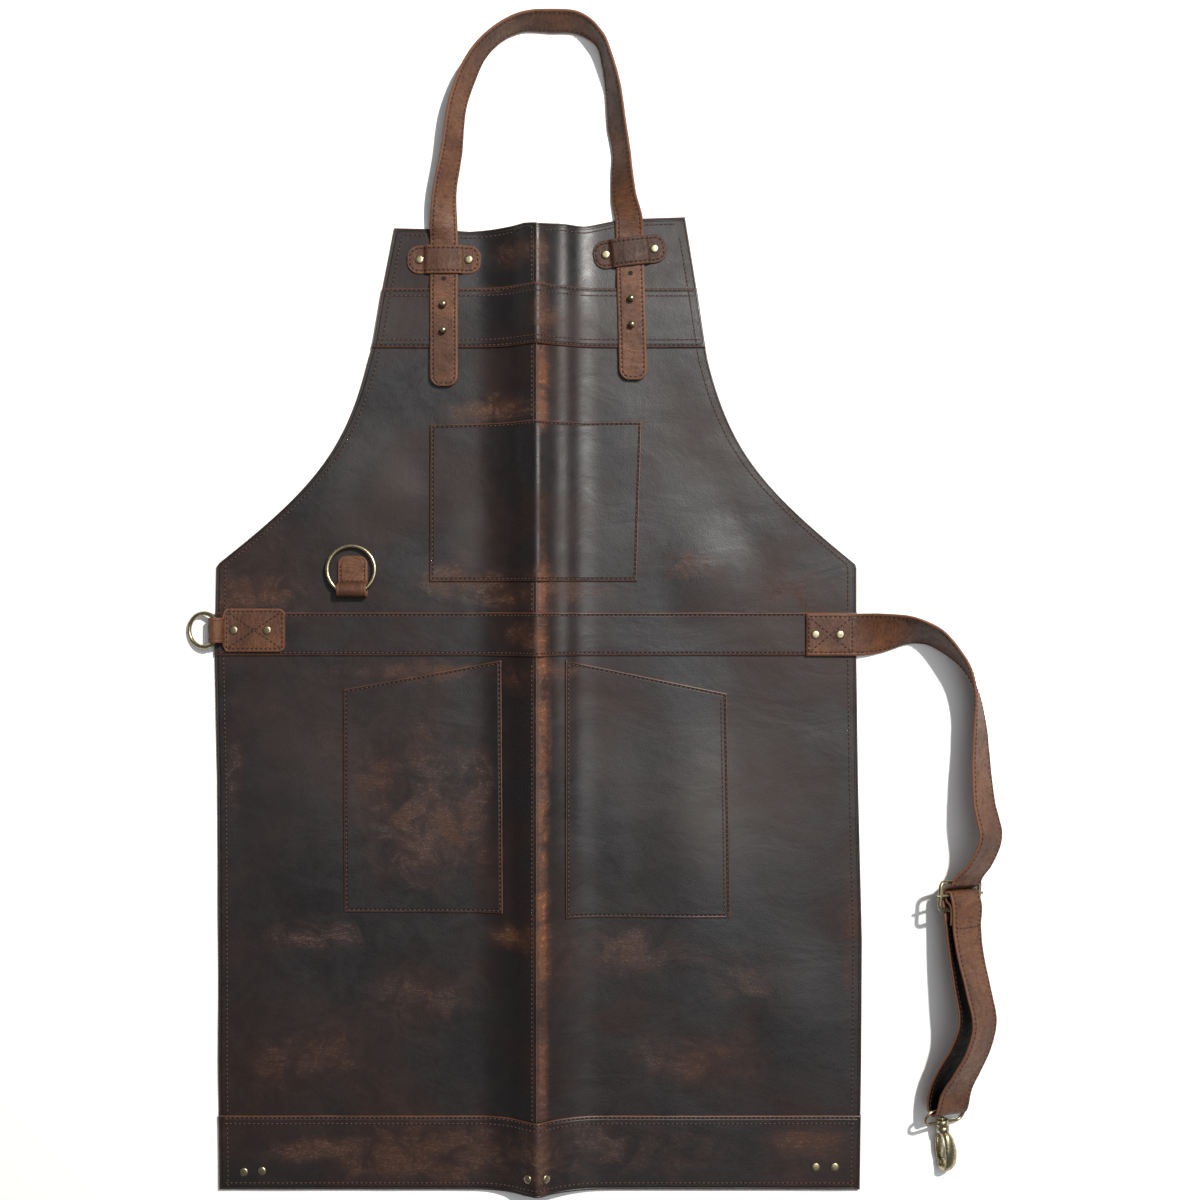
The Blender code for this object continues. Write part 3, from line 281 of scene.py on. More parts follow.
SIDE_STITCH_INSET = 0.0085
SECOND_FOLD_X = 0.0285
CREST_WEAR_X = 0.0050
CREST_WEAR_REACH = 0.0048
BROWN_SHARE = 0.66
# Brown patches: across, up, radius across, radius up, strength
BROWN_ROWS = (
    (-0.028, 0.972, 0.070, 0.031, 0.75),
    (-0.059, 0.934, 0.094, 0.010, 0.70),
    (0.011, 0.907, 0.055, 0.029, 0.50),
    (-0.055, 0.812, 0.085, 0.024, 0.85),
    (-0.130, 0.809, 0.062, 0.023, 0.35),
    (0.144, 0.962, 0.047, 0.042, 0.30),
    (-0.028, 0.623, 0.300, 0.034, 0.58),
    (-0.137, 0.639, 0.062, 0.027, 0.60),
    (0.237, 0.649, 0.070, 0.029, 0.75),
    (0.393, 0.628, 0.094, 0.031, 0.35),
    (-0.434, 0.613, 0.110, 0.042, 0.55),
    (-0.184, 0.538, 0.219, 0.017, 0.60),
    (-0.036, 0.529, 0.047, 0.026, 0.60),
    (-0.020, 0.577, 0.045, 0.020, 0.95),
    (0.034, 0.538, 0.055, 0.015, 0.90),
    (-0.178, 0.390, 0.155, 0.150, 0.54),
    (-0.091, 0.415, 0.039, 0.073, 0.40),
    (-0.340, 0.264, 0.172, 0.031, 0.45),
    (-0.036, 0.264, 0.070, 0.021, 0.90),
    (-0.184, 0.196, 0.203, 0.063, 0.32),
    (-0.372, 0.133, 0.141, 0.047, 0.30),
    (0.159, 0.248, 0.172, 0.047, 0.50),
    (0.347, 0.217, 0.156, 0.063, 0.38),
    (0.222, 0.133, 0.187, 0.052, 0.38),
    (0.000, 0.040, 0.560, 0.060, 0.48),
    (-0.356, 0.040, 0.109, 0.019, 0.50),
    (0.409, 0.050, 0.094, 0.023, 0.45),
    (-0.473, 0.446, 0.031, 0.125, 0.35),
    (0.487, 0.238, 0.028, 0.167, 0.30),
    (0.097, 0.446, 0.047, 0.094, 0.22),
    (0.011, 0.467, 0.022, 0.125, 0.50),
)
# Patches of painted grey sheen, standing in for light reflected off the wax, as above
PAINTED_SHEEN_ROWS = (
    (0.284, 0.400, 0.230, 0.170, 0.95),
    (0.110, 0.467, 0.100, 0.100, 0.50),
    (0.253, 0.738, 0.130, 0.090, 0.50),
    (-0.262, 0.745, 0.130, 0.100, 0.70),
    (0.110, 0.915, 0.120, 0.060, 0.45),
    (-0.400, 0.415, 0.120, 0.130, 0.40),
    (-0.110, 0.680, 0.050, 0.070, 0.60),
    (0.300, 0.580, 0.200, 0.020, 0.40),
    (-0.250, 0.905, 0.090, 0.060, 0.45),
)
# How strongly the fold has rubbed brown, up the apron
CREST_ROWS = (
    (0.000, 0.45),
    (0.080, 0.50),
    (0.110, 1.00),
    (0.545, 1.00),
    (0.590, 0.70),
    (0.640, 0.90),
    (0.670, 0.25),
    (0.780, 0.10),
    (0.805, 0.95),
    (0.870, 0.95),
    (0.890, 0.40),
    (1.000, 0.30),
)


# Height of the lying leather

def ridge_share(x):
    rounded_x = np.sqrt(np.square(x) + CREST_RADIUS**2) - CREST_RADIUS
    away = 1 - rounded_x / RIDGE_HALF_WIDTH
    return ((away + np.sqrt(np.square(away) + RIDGE_SOFTNESS**2)) / 2) ** RIDGE_POWER


def bump(x, y, rows):
    """Sum of round cosine bumps, in shares of the apron's width and length."""
    total = np.zeros(np.shape(x))
    for across, up, radius_across, radius_up, rise in rows:
        away = np.hypot(
            (x / APRON_WIDTH - across) / radius_across, (y / APRON_LENGTH - up) / radius_up
        )
        total += rise * np.cos(np.minimum(away, 1) * pi / 2) ** 2
    return total


def noise_at(x, y, scale, seed=0.0):
    """Smooth noise between about -1 and 1 over arrays of places."""
    flat = [
        noise.noise(Vector((a * scale, b * scale, seed)))
        for a, b in zip(np.ravel(x), np.ravel(y))
    ]
    return np.reshape(flat, np.shape(x))


def height(x, y):
    rises = np.array(RIDGE_ROWS)
    ridge = RIDGE_HEIGHT * ridge_share(x) * np.interp(y / APRON_LENGTH, rises[:, 0], rises[:, 1])
    return ridge + SWELL_HEIGHT * bump(x, y, SWELL_ROWS)


def lap(x):
    return np.interp(x, LAP_STOPS, (0, 1, 1, 0))


def ripple(x, y):
    """Small waves of leather that has hung and been folded, up to about 0.8 mm."""
    beside = np.exp(-np.square((x - SECOND_FOLD_X) / 0.0070)) * np.clip((y - 0.25) / 0.2, 0, 1) * 0.0019
    slow = noise_at(x, y, 13.0, 3.0) * 0.0009 + beside
    fine = noise_at(x * 0.6, y, 55.0, 9.0) * 0.00022
    return np.maximum(slow + 0.0004, 0) + fine * (0.4 + np.abs(noise_at(x, y, 9.0, 5.0)))


def underside(x, y, layer, lapped=False):
    over = lap(x) if layer > 0 or lapped else 0.0
    return height(x, y) + ripple(x, y) + PLY * (layer + over)


# Meshes

def to_object(name, verts, faces, uvs=None):
    mesh = bpy.data.meshes.new(name)
    shifted = np.asarray(verts, float) + np.array(SHIFT)
    mesh.from_pydata(shifted.tolist(), [], faces)
    if uvs is not None:
        layer = mesh.uv_layers.new(name="lay")
        loops = np.empty(len(mesh.loops), int)
        mesh.loops.foreach_get("vertex_index", loops)
        layer.data.foreach_set("uv", np.asarray(uvs, float)[loops].ravel())
    mesh.polygons.foreach_set("use_smooth", [True] * len(mesh.polygons))
    mesh.update()
    made = bpy.data.objects.new(name, mesh)
    bpy.context.scene.collection.objects.link(made)
    return made


def shell(name, top, bottom, uv, marks):
    """A closed sheet from two grids of points; marks are values kept at each point of the grid."""
    rows, columns = top.shape[:2]
    count = rows * columns
    index = np.arange(count).reshape(rows, columns)
    quads = []
    a, b, c, d = index[:-1, :-1], index[:-1, 1:], index[1:, 1:], index[1:, :-1]
    quads += np.stack([a, b, c, d], -1).reshape(-1, 4).tolist()
    quads += (np.stack([a, d, c, b], -1) + count).reshape(-1, 4).tolist()
    border = [*index[0, :-1], *index[:-1, -1], *index[-1, :0:-1], *index[:0:-1, 0]]
    for here, there in zip(border, border[1:] + border[:1]):
        quads.append([int(there), int(here), int(here) + count, int(there) + count])
    verts = np.concatenate([top.reshape(-1, 3), bottom.reshape(-1, 3)])
    uvs = np.concatenate([uv.reshape(-1, 2)] * 2)
    made = to_object(name, verts, quads, uvs)
    for mark, values in marks.items():
        faces = values if isinstance(values, tuple) else (values, values)
        attribute = made.data.attributes.new(mark, "FLOAT", "POINT")
        attribute.data.foreach_set("value", np.concatenate([face.ravel() for face in faces]))
    return made


def stops(length, step):
    """Shares of a length, close together at both ends so that the edge is rounded."""
    rim, inset = EDGE_STOPS
    inner = np.linspace(inset, length - inset, max(2, round(length / step)))
    return np.array([0.0, rim, *inner, length - rim, length]) / length


def edge_profile(u, v):
    """1 inside the sheet, 0 on its border ring."""
    inside = np.ones((len(v), len(u)))
    inside[0], inside[-1], inside[:, 0], inside[:, -1] = 0, 0, 0, 0
    return inside


def bezier(points, t):
    a, b, c, d = (Vector(p) for p in points)
    return a * (1 - t) ** 3 + b * 3 * t * (1 - t) ** 2 + c * 3 * t * t * (1 - t) + d * t**3


def side_outline(side):
    at = 2 if side > 0 else 1
    shares = [(row[at], row[0]) for row in SIDE_ROWS]
    armhole = (shares[-1], *ARMHOLE_HANDLES, ARMHOLE_TOP)
    shares += [tuple(bezier(armhole, i / ARMHOLE_STEPS)) for i in range(1, ARMHOLE_STEPS + 1)]
    shares += [(row[at], row[0]) for row in BIB_ROWS]
    if side > 0:
        shares[-1] = (shares[-1][0], shares[-1][1] + BIB_RISE_RIGHT)
    half = APRON_WIDTH / 2
    return np.array([(side * width * half, high * APRON_LENGTH) for width, high in shares])


LEFT_SIDE = side_outline(-1)
RIGHT_SIDE = side_outline(1)
TOP_LEFT = LEFT_SIDE[-1][1]
TOP_RIGHT = RIGHT_SIDE[-1][1]


def edge_x(side, y):
    points = RIGHT_SIDE if side > 0 else LEFT_SIDE
    return np.interp(y, points[:, 1], points[:, 0])


def wear(x, y):
    """How far the black has rubbed through to brown: on the fold, and in patches."""
    strength = np.array(CREST_ROWS)
    crest = np.exp(-np.square((x - CREST_WEAR_X) / CREST_WEAR_REACH))
    crest = crest * np.interp(y / APRON_LENGTH, strength[:, 0], strength[:, 1])
    cloud = 0.5 + 0.5 * noise_at(x, y, 24.0, 1.0)
    patches = bump(x, y, BROWN_ROWS) * BROWN_SHARE
    return np.clip(patches * (0.55 + 0.7 * cloud) + crest * (0.45 + 0.8 * cloud), 0, 1)


def painted_sheen(x, y):
    """Painted grey sheen on the black, in patches, and a painted highlight along the low fold beside the
    ridge.
    """
    # The line is a painted highlight along the low fold beside the ridge.
    line = np.exp(-np.square((x - SECOND_FOLD_X + 0.005) / 0.0045)) * np.clip((y - 0.40) / 0.15, 0, 1)
    return bump(x, y, PAINTED_SHEEN_ROWS) + line * (0.55 + 0.5 * noise_at(x, y, 14.0, 6.0))


def spread(top):
    """Width, length and area of a sheet laid flat, measured over its own surface."""
    wide = np.linalg.norm(np.diff(top, axis=1), axis=2).sum(axis=1).max()
    quads = np.cross(top[1:, 1:] - top[:-1, :-1], top[1:, :-1] - top[:-1, 1:])
    area = float(np.linalg.norm(quads, axis=2).sum() / 2)
    return round(float(wide), 3), round(float(np.ptp(top[..., 1])), 3), round(area, 4)


def lay(name, places, layer, lapped=False):
    """A sheet over a grid of places, rows up the apron, with a rounded edge."""
    x, y, u, v, distance = places
    base = underside(x, y, layer, lapped)
    inside = edge_profile(u, v)
    top = np.stack([x, y, base + LEATHER - EDGE_ROUNDING * (1 - inside)], -1)
    bottom = np.stack([x, y, base + EDGE_LIFT * (1 - inside)], -1)
    # The sheen mark is painted reflected light; wear is the leather rubbed brown.
    marks = {"wear": wear(x, y), "rim": distance, "painted_sheen": painted_sheen(x, y)}
    made = shell(f"{name}_leather", top, bottom, np.stack([x, y], -1), marks)
    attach(made, "apron")
    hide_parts(name)
    paint(made, "panel")
    width, length, area = spread(top)
    area = min(area, width * length)


def grid_between(left, right, low, high, step=0.004):
    """Places on a sheet whose sides are functions of y and whose ends are functions of x."""
    width = float(right((low(0) + high(0)) / 2) - left((low(0) + high(0)) / 2))
    length = float(high(0) - low(0))
    u, v = stops(width, step), stops(length, step)
    x = np.tile(left(low(0) + v * length)[:, None], (1, len(u)))
    x = x + (right(low(0) + v * length)[:, None] - x) * u[None, :]
    for _ in range(3):
        y = low(x) + (high(x) - low(x)) * v[:, None]
        x = left(y) + (right(y) - left(y)) * u[None, :]
    distance = np.minimum(np.minimum(x - left(y), right(y) - x), np.minimum(y - low(x), high(x) - y))
    return x, y, u, v, distance


def constant(value):
    return lambda x: np.zeros(np.shape(x)) + value


def left_top(x):
    """Top edge left of the fold: from the corner up to the ridge's crest."""
    drops = (0.0, -0.001, -0.0035, -0.001, 0.0, APRON_LENGTH * CREST_TOP - TOP_LEFT)
    return TOP_LEFT + np.interp(x, (-0.137, -0.10, -0.065, -0.03, -0.012, 0.0), drops)


def right_top(x):
    crest = APRON_LENGTH * CREST_TOP
    ups = (crest, crest, TOP_LEFT + 0.001, TOP_LEFT + 0.001, TOP_RIGHT - 0.002, TOP_RIGHT)
    return np.interp(x, (-SEAM_LAP, 0.0, 0.020, 0.045, 0.080, 0.14), ups)


def make_panels():
    left = grid_between(lambda y: edge_x(-1, y), constant(PANEL_EDGE_X), constant(0.0), left_top)
    right = grid_between(constant(-SEAM_LAP), lambda y: edge_x(1, y), constant(0.0), right_top)
    lay("panel_right", right, 0)
    lay("panel_left", left, 0, True)


def band(name, low, high):
    sides = (lambda y: edge_x(-1, y), lambda y: edge_x(1, y))
    places = grid_between(*sides, constant(low * APRON_LENGTH), constant(high * APRON_LENGTH), SEWN_STEP)
    lay(name, places, 1)


def pocket(name, corners):
    """A four-cornered pocket, its sides straight from corner to corner."""
    low_left, low_right, high_right, high_left = corners

    def line(start, end, axis):
        along = 1 - axis
        return lambda t: np.interp(t, (start[axis], end[axis]), (start[along], end[along]))

    places = grid_between(
        line(low_left, high_left, 1),
        line(low_right, high_right, 1),
        line(low_left, low_right, 0),
        line(high_left, high_right, 0),
        SEWN_STEP,
    )
    lay(name, places, 1)


# Straps

def smooth_path(rows):
    rows = np.array(rows, float)
    chords = np.linalg.norm(np.diff(rows[:, :3], axis=0), axis=1)
    knots = np.concatenate([[0], np.cumsum(chords)])
    slopes = np.gradient(rows, knots, axis=0)
    found = []
    for k, chord in enumerate(chords):
        for t in np.linspace(0, 1, SPAN_STEPS, endpoint=False):
            found.append(
                rows[k] * (1 + 2 * t) * (1 - t) ** 2
                + slopes[k] * chord * t * (1 - t) ** 2
                + rows[k + 1] * t**2 * (3 - 2 * t)
                - slopes[k + 1] * chord * t**2 * (1 - t)
            )
    found.append(rows[-1])
    found = np.array(found)
    lengths = np.linalg.norm(np.diff(found[:, :3], axis=0), axis=1)
    return found, np.concatenate([[0], np.cumsum(lengths)])


def picked(path, run, wanted):
    return np.column_stack([np.interp(wanted, run, column) for column in path.T])


def unit(vectors):
    return vectors / np.linalg.norm(vectors, axis=-1, keepdims=True)


class Strap:
    """A ribbon's path, from which its mesh and its rows of stitches are made."""

    def __init__(self, rows, width, thickness, corner=(0, 0)):
        self.dense, self.run = smooth_path(rows)
        self.width, self.thickness, self.corner = width, thickness, corner
        self.length = self.run[-1]
        self.half = self.rounded_half

    def rounded_half(self, at):
        near = np.full(np.shape(at), 1.0)
        if self.corner[0]:
            near = np.minimum(near, at)
        if self.corner[1]:
            near = np.minimum(near, self.length - at)
        radius = max(self.corner)
        inside = np.sqrt(np.maximum(radius**2 - (radius - np.minimum(near, radius)) ** 2, 0))
        return np.where(near >= radius, self.width / 2, self.width / 2 - radius + inside)

    def frames(self, at):
        path = picked(self.dense, self.run, at)
        step = 0.0008
        ahead = picked(self.dense, self.run, np.minimum(at + step, self.length))
        behind = picked(self.dense, self.run, np.maximum(at - step, 0))
        along = unit(ahead[:, :3] - behind[:, :3])
        side = unit(path[:, 3:6])
        out = unit(np.cross(side, along))
        return path[:, :3], side, out

    def mesh(self, name, material, nodes, spacing=0.0025, wave=0.00022, inside=None, held="laid"):
        """The strap's leather; inside holds the start, the end and the face of a stretch given painted
        shadow.
        """
        count = max(4, ceil(self.length / spacing))
        at = np.linspace(0, self.length, count)
        for end, radius in zip((0, 1), self.corner):
            if radius:
                close = radius * (1 - np.cos(np.radians(np.arange(0, 90, 9))))
                at = np.concatenate([at, close if end == 0 else self.length - close])
        at = np.unique(np.round(at, 6))
        centre, side, out = self.frames(at)
        half = self.half(at)
        share = np.array((-1, -0.975, -0.9, -0.65, -0.3, 0.0, 0.3, 0.65, 0.9, 0.975, 1))
        across = half[:, None] * share[None, :]
        body = np.interp(np.abs(share), (0, 0.9, 0.975, 1), (1.0, 0.98, 0.86, 0.45))[None, :]
        ends = np.ones(len(at))
        ends[0], ends[-1] = 0.45, 0.45
        body = body * ends[:, None] * self.thickness / 2
        wrinkle = wave * noise_at(at[:, None] * 1.0 + across * 0.35, across, 130.0, 2.0)
        points = centre[:, None, :] + side[:, None, :] * across[..., None]
        up = out[:, None, :]
        top = points + up * (body + wrinkle)[..., None]
        bottom = points - up * (body - wrinkle)[..., None]
        uv = np.stack([np.broadcast_to(at[:, None], across.shape), across], -1)
        rim = half[:, None] - np.abs(across)
        # Painted shadow: the stretch inside the loop is marked here to be coloured near black and dull.
        shade = np.zeros(across.shape)
        if inside:
            first, last, face = inside
            near = np.minimum(at - first, last - at)
            shade = shade + np.clip(near / 0.004, 0, 1)[:, None] * np.clip(rim / 0.0008, 0, 1)
        faces = (shade, shade * 0) if inside and face > 0 else (shade * 0, shade)
        marks = {"wear": np.clip(1 - rim / 0.004, 0, 1) * 0.8, "rim": rim, "inner": faces}
        made = shell(name, top, bottom, uv, marks)
        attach(made, "apron")
        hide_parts(*nodes)
        paint(made, material)

    def row(self, start, stop, across, face=1.0):
        """Points and outward directions along the strap at a distance from its middle."""
        at = np.linspace(start, stop, max(2, ceil(abs(stop - start) / 0.002)))
        centre, side, out = self.frames(at)
        points = centre + side * across + out * face * (self.thickness / 2 + STITCH_LIFT)
        return points, out * face

    def leg(self, y, last):
        """Length run where a strap that goes up and comes back passes a height."""
        far = self.run[np.argmax(self.dense[:, 1])]
        away = np.abs(self.dense[:, 1] - y)
        away[(self.run > far) != last] = 1
        return float(self.run[np.argmin(away)])

    def nearest(self, point, later):
        """Length run where the strap passes closest to a point, before or after its far turn."""
        far = self.run[np.argmin(self.dense[:, 1])]
        away = np.linalg.norm(self.dense[:, :3] - np.array(point), axis=1)
        away[(self.run > far) != later] = 1
        return float(self.run[np.argmin(away)])

    def spot(self, at, across, face=1.0):
        centre, side, out = self.frames(np.array([at]))
        lift = self.thickness / 2 + STITCH_LIFT
        return centre[0] + side[0] * across + out[0] * face * lift, out[0] * face


def leaning(heading, tilt):
    h, t = radians(heading), radians(tilt)
    return (cos(h) * cos(t), sin(h) * cos(t), sin(t))


def right_leg_x(y):
    return NECK_RIGHT_X - NECK_RIGHT_SLANT * (y - NECK_RIGHT_END)


def neck_rows():
    lying = PLY + STRAP_THICKNESS / 2
    on_band = lying + PLY
    band_low = CHEST_BAND[0] * APRON_LENGTH
    band_high = CHEST_BAND[1] * APRON_LENGTH
    half = NECK_STRAP_WIDTH / 2

    def on_bib(end, keeper, ease, edge_y, edge_tilt):
        """Heights of the strap from its end, through its keeper, to where it leaves the bib."""
        low, high = keeper - KEEPER_WIDTH / 2, keeper + KEEPER_WIDTH / 2
        flat = [(y, on_band, 0) for y in (end, band_low, band_high - STRAP_EASE, band_high + 0.001)]
        flat.append((low - ease, lying + 2 * GAP, 0))
        flat += [(y, lying, 0) for y in (low, low + STRAP_EASE, high - STRAP_EASE, high)]
        flat.append((high + STRAP_EASE, lying + GAP, 0))
        return [*flat, (edge_y, lying + half * sin(radians(edge_tilt)) + 2 * GAP, edge_tilt)]

    rows = []
    for y, high, tilt in on_bib(NECK_LEFT_END, KEEPER_Y, 0.0045, APRON_LENGTH, 13):
        rows.append((NECK_LEFT_X, y, high, *leaning(180, tilt)))
    loop = []
    for x, share, tilt in NECK_ROWS:
        up = sin(radians(tilt)) * NECK_STRAP_WIDTH / 2
        thick = cos(radians(tilt)) * STRAP_THICKNESS / 2
        loop.append([x, APRON_LENGTH + share * NECK_LOOP_HEIGHT, up + thick + NECK_REST_HEIGHT, tilt])
    for k, (x, y, z, tilt) in enumerate(loop):
        before = loop[max(k - 1, 0)]
        after = loop[min(k + 1, len(loop) - 1)]
        run = Vector((after[0] - before[0], after[1] - before[1]))
        heading = degrees(run.angle_signed(Vector((1, 0)))) + 90
        rows.append((x, y, z, *leaning(heading, tilt)))
    for y, high, tilt in reversed(on_bib(NECK_RIGHT_END, KEEPER_RIGHT_Y, 0.0055, APRON_LENGTH + 0.007, 8)):
        rows.append((right_leg_x(y), y, high, *leaning(0, tilt)))
    return rows


def loop_frame(tilt):
    start, end = Vector(SLIDER_AT), Vector(LOOP_END)
    along = (end - start).normalized()
    level = Vector((0, 0, 1)).cross(along).normalized()
    t = radians(180 - tilt)
    across = level * cos(t) + Vector((0, 0, 1)) * sin(t)
    out = level * sin(t) - Vector((0, 0, 1)) * cos(t)
    return along, across, out


def loop_point(along, out, tilt):
    start = Vector(SLIDER_AT)
    run, across, front = loop_frame(tilt)
    return (*(start + run * along + front * out), *across)


def waist_strap_rows():
    flat = 2 * PLY + STRAP_THICKNESS / 2
    rows = [(x, WAIST_STRAP_Y, flat, *leaning(90, 0)) for x in (PATCH_LEFT, 0.275, 0.290, 0.303)]
    for x, up, high, heading, tilt in UPPER_ROWS:
        rows.append((x, up, high, *leaning(heading, tilt)))
    half_leather = STRAP_THICKNESS / 2
    over = SLIDER_WIRE + 3 * GAP + half_leather
    bar = SLIDER_BAR + 2 * GAP + half_leather
    end = SLIDER_LENGTH / 2
    tilt = SLIDER_TILT
    under = -bar - STRAP_THICKNESS
    for along, out in (
        (-end - 0.0009, over + 0.0003),
        (-end + 0.0026, over - 0.0008),
        (-end + 0.0046, 0.0),
        (-0.0035, under - 0.0004),
        (0.003, under - 0.0012),
        (end, -over - 0.0006),
    ):
        rows.append(loop_point(along, out, tilt))
    length = (Vector(LOOP_END) - Vector(SLIDER_AT)).length
    rows += [loop_point(along * length, back, lean) for along, front, back, lean in LOOP_ROWS]
    for turn in (-90, -45, 0, 45, 90):
        reach = length + LOOP_TURN_RADIUS * cos(radians(turn))
        rows.append(loop_point(reach, LOOP_TURN_RADIUS * sin(radians(turn)), LOOP_END_TILT))
    rows += [loop_point(along * length, front, lean) for along, front, back, lean in reversed(LOOP_ROWS)]
    for along, out in (
        (end, over + STRAP_THICKNESS + GAP + 0.0004),
        (end / 2, over + 0.0019),
        *((bar * cos(radians(turn)), bar * sin(radians(turn))) for turn in (80, 130, 180, 230)),
        (0.0045, -bar + 0.0009),
        (end - 0.0037, over - 0.0006),
        (end, over + 0.0004),
        (FLAP_LENGTH, over + 0.0012),
    ):
        rows.append(loop_point(along, out, tilt))
    return rows


def keeper_rows(x, y, turn_deg):
    low = PLY + LEATHER / 2
    high = low + STRAP_THICKNESS + GAP
    half, bridge = KEEPER_LENGTH / 2, NECK_STRAP_WIDTH / 2
    turn = radians(turn_deg)
    side = (-sin(turn), cos(turn), 0)
    rows = []
    for along in np.linspace(-half, half, 61):
        share = np.clip((bridge + KEEPER_STEP[1] - abs(along)) / (KEEPER_STEP[1] - KEEPER_STEP[0]), 0, 1)
        crown = KEEPER_CROWN * max(0.0, 1 - (along / bridge) ** 2)
        up = low + (high - low) * share**2 * (3 - 2 * share) + crown
        rows.append((x + along * cos(turn), y + along * sin(turn), up, *side))
    return rows


# Stitches

class Stitching:
    """Gathers stitches, then makes one mesh of threads and one of the holes they enter."""

    def __init__(self):
        self.verts, self.faces = [], []
        self.hole_verts, self.hole_faces = [], []

    def add(self, middle, along, out):
        side = np.cross(out, along)
        s = len(self.verts)
        half = STITCH_LENGTH / 2
        wide = side * STITCH_WIDTH / 2
        proud = out * THREAD_PROUD
        self.verts.append(middle - along * half - out * THREAD_END_SUNK)
        for share in (-THREAD_SHOULDER, THREAD_SHOULDER):
            centre = middle + along * STITCH_LENGTH * share
            self.verts += [centre + wide, centre + proud, centre - wide, centre - out * THREAD_SUNK]
        self.verts.append(middle + along * half - out * THREAD_END_SUNK)
        for k in range(4):
            n = (k + 1) % 4
            self.faces.append([s, s + 1 + n, s + 1 + k])
            self.faces.append([s + 1 + k, s + 1 + n, s + 5 + n, s + 5 + k])
            self.faces.append([s + 9, s + 5 + k, s + 5 + n])
        # Each hole is a small dark cone: painted shade in the hole's mouth.
        for end in (-1, 1):
            centre = middle + along * end * (half + HOLE_BEYOND) + out * HOLE_LIFT
            h = len(self.hole_verts)
            for k in range(6):
                a = k * pi / 3
                self.hole_verts.append(centre + along * cos(a) * HOLE_LONG + side * sin(a) * HOLE_WIDE)
            self.hole_verts.append(centre - out * HOLE_DEEP)
            self.hole_faces.append([h + k for k in range(6)])
            self.hole_faces += [[h + (k + 1) % 6, h + k, h + 6] for k in range(6)]

    def run(self, points, normals):
        """Stitches along a line of points on a surface."""
        points, normals = np.asarray(points, float), unit(np.asarray(normals, float))
        steps = np.linalg.norm(np.diff(points, axis=0), axis=1)
        total = np.concatenate([[0], np.cumsum(steps)])
        count = max(1, round(total[-1] / STITCH_PITCH))
        at = (np.arange(count) + 0.5) * total[-1] / count
        middles = picked(points, total, at)
        ahead = picked(points, total, np.minimum(at + 0.001, total[-1]))
        behind = picked(points, total, np.maximum(at - 0.001, 0))
        outs = unit(picked(normals, total, at))
        for middle, along, out in zip(middles, unit(ahead - behind), outs):
            self.add(middle, along, out)

    def finish(self, name, colour="dark_thread"):
        """Dark thread sinks into the strap, so that its holes don't show."""
        pieces = [(to_object(f"{name}_thread", self.verts, self.faces), colour)]
        if colour == "thread":
            pieces.append((to_object(f"{name}_holes", self.hole_verts, self.hole_faces), "hole"))
        for piece, material in pieces:
            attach(piece, "apron")
            paint(piece, material)


def on_cloth(points_xy, layer, lapped=False):
    """Points on a sheet's top, and its normals."""
    xy = np.asarray(points_xy, float)
    x, y = xy[:, 0], xy[:, 1]
    z = underside(x, y, layer, lapped) + LEATHER
    step = 0.002
    slope_x = (underside(x + step, y, layer, lapped) - underside(x - step, y, layer, lapped)) / (2 * step)
    slope_y = (underside(x, y + step, layer, lapped) - underside(x, y - step, layer, lapped)) / (2 * step)
    return np.stack([x, y, z], -1), unit(np.stack([-slope_x, -slope_y, np.ones(len(x))], -1))


def dense_line(points):
    points = np.asarray(points, float)
    steps = np.linalg.norm(np.diff(points, axis=0), axis=1)
    total = np.concatenate([[0], np.cumsum(steps)])
    return picked(points, total, np.linspace(0, total[-1], max(2, ceil(total[-1] / ROW_STEP) + 1)))


def cloth_row(stitching, points_xy, layer, lapped=False):
    stitching.run(*on_cloth(dense_line(points_xy), layer, lapped))


def offset_sides(side, low, high, inset):
    ys = np.linspace(low, high, max(2, ceil((high - low) / 0.004)))
    return [(float(edge_x(side, y)) - side * inset, float(y)) for y in ys]


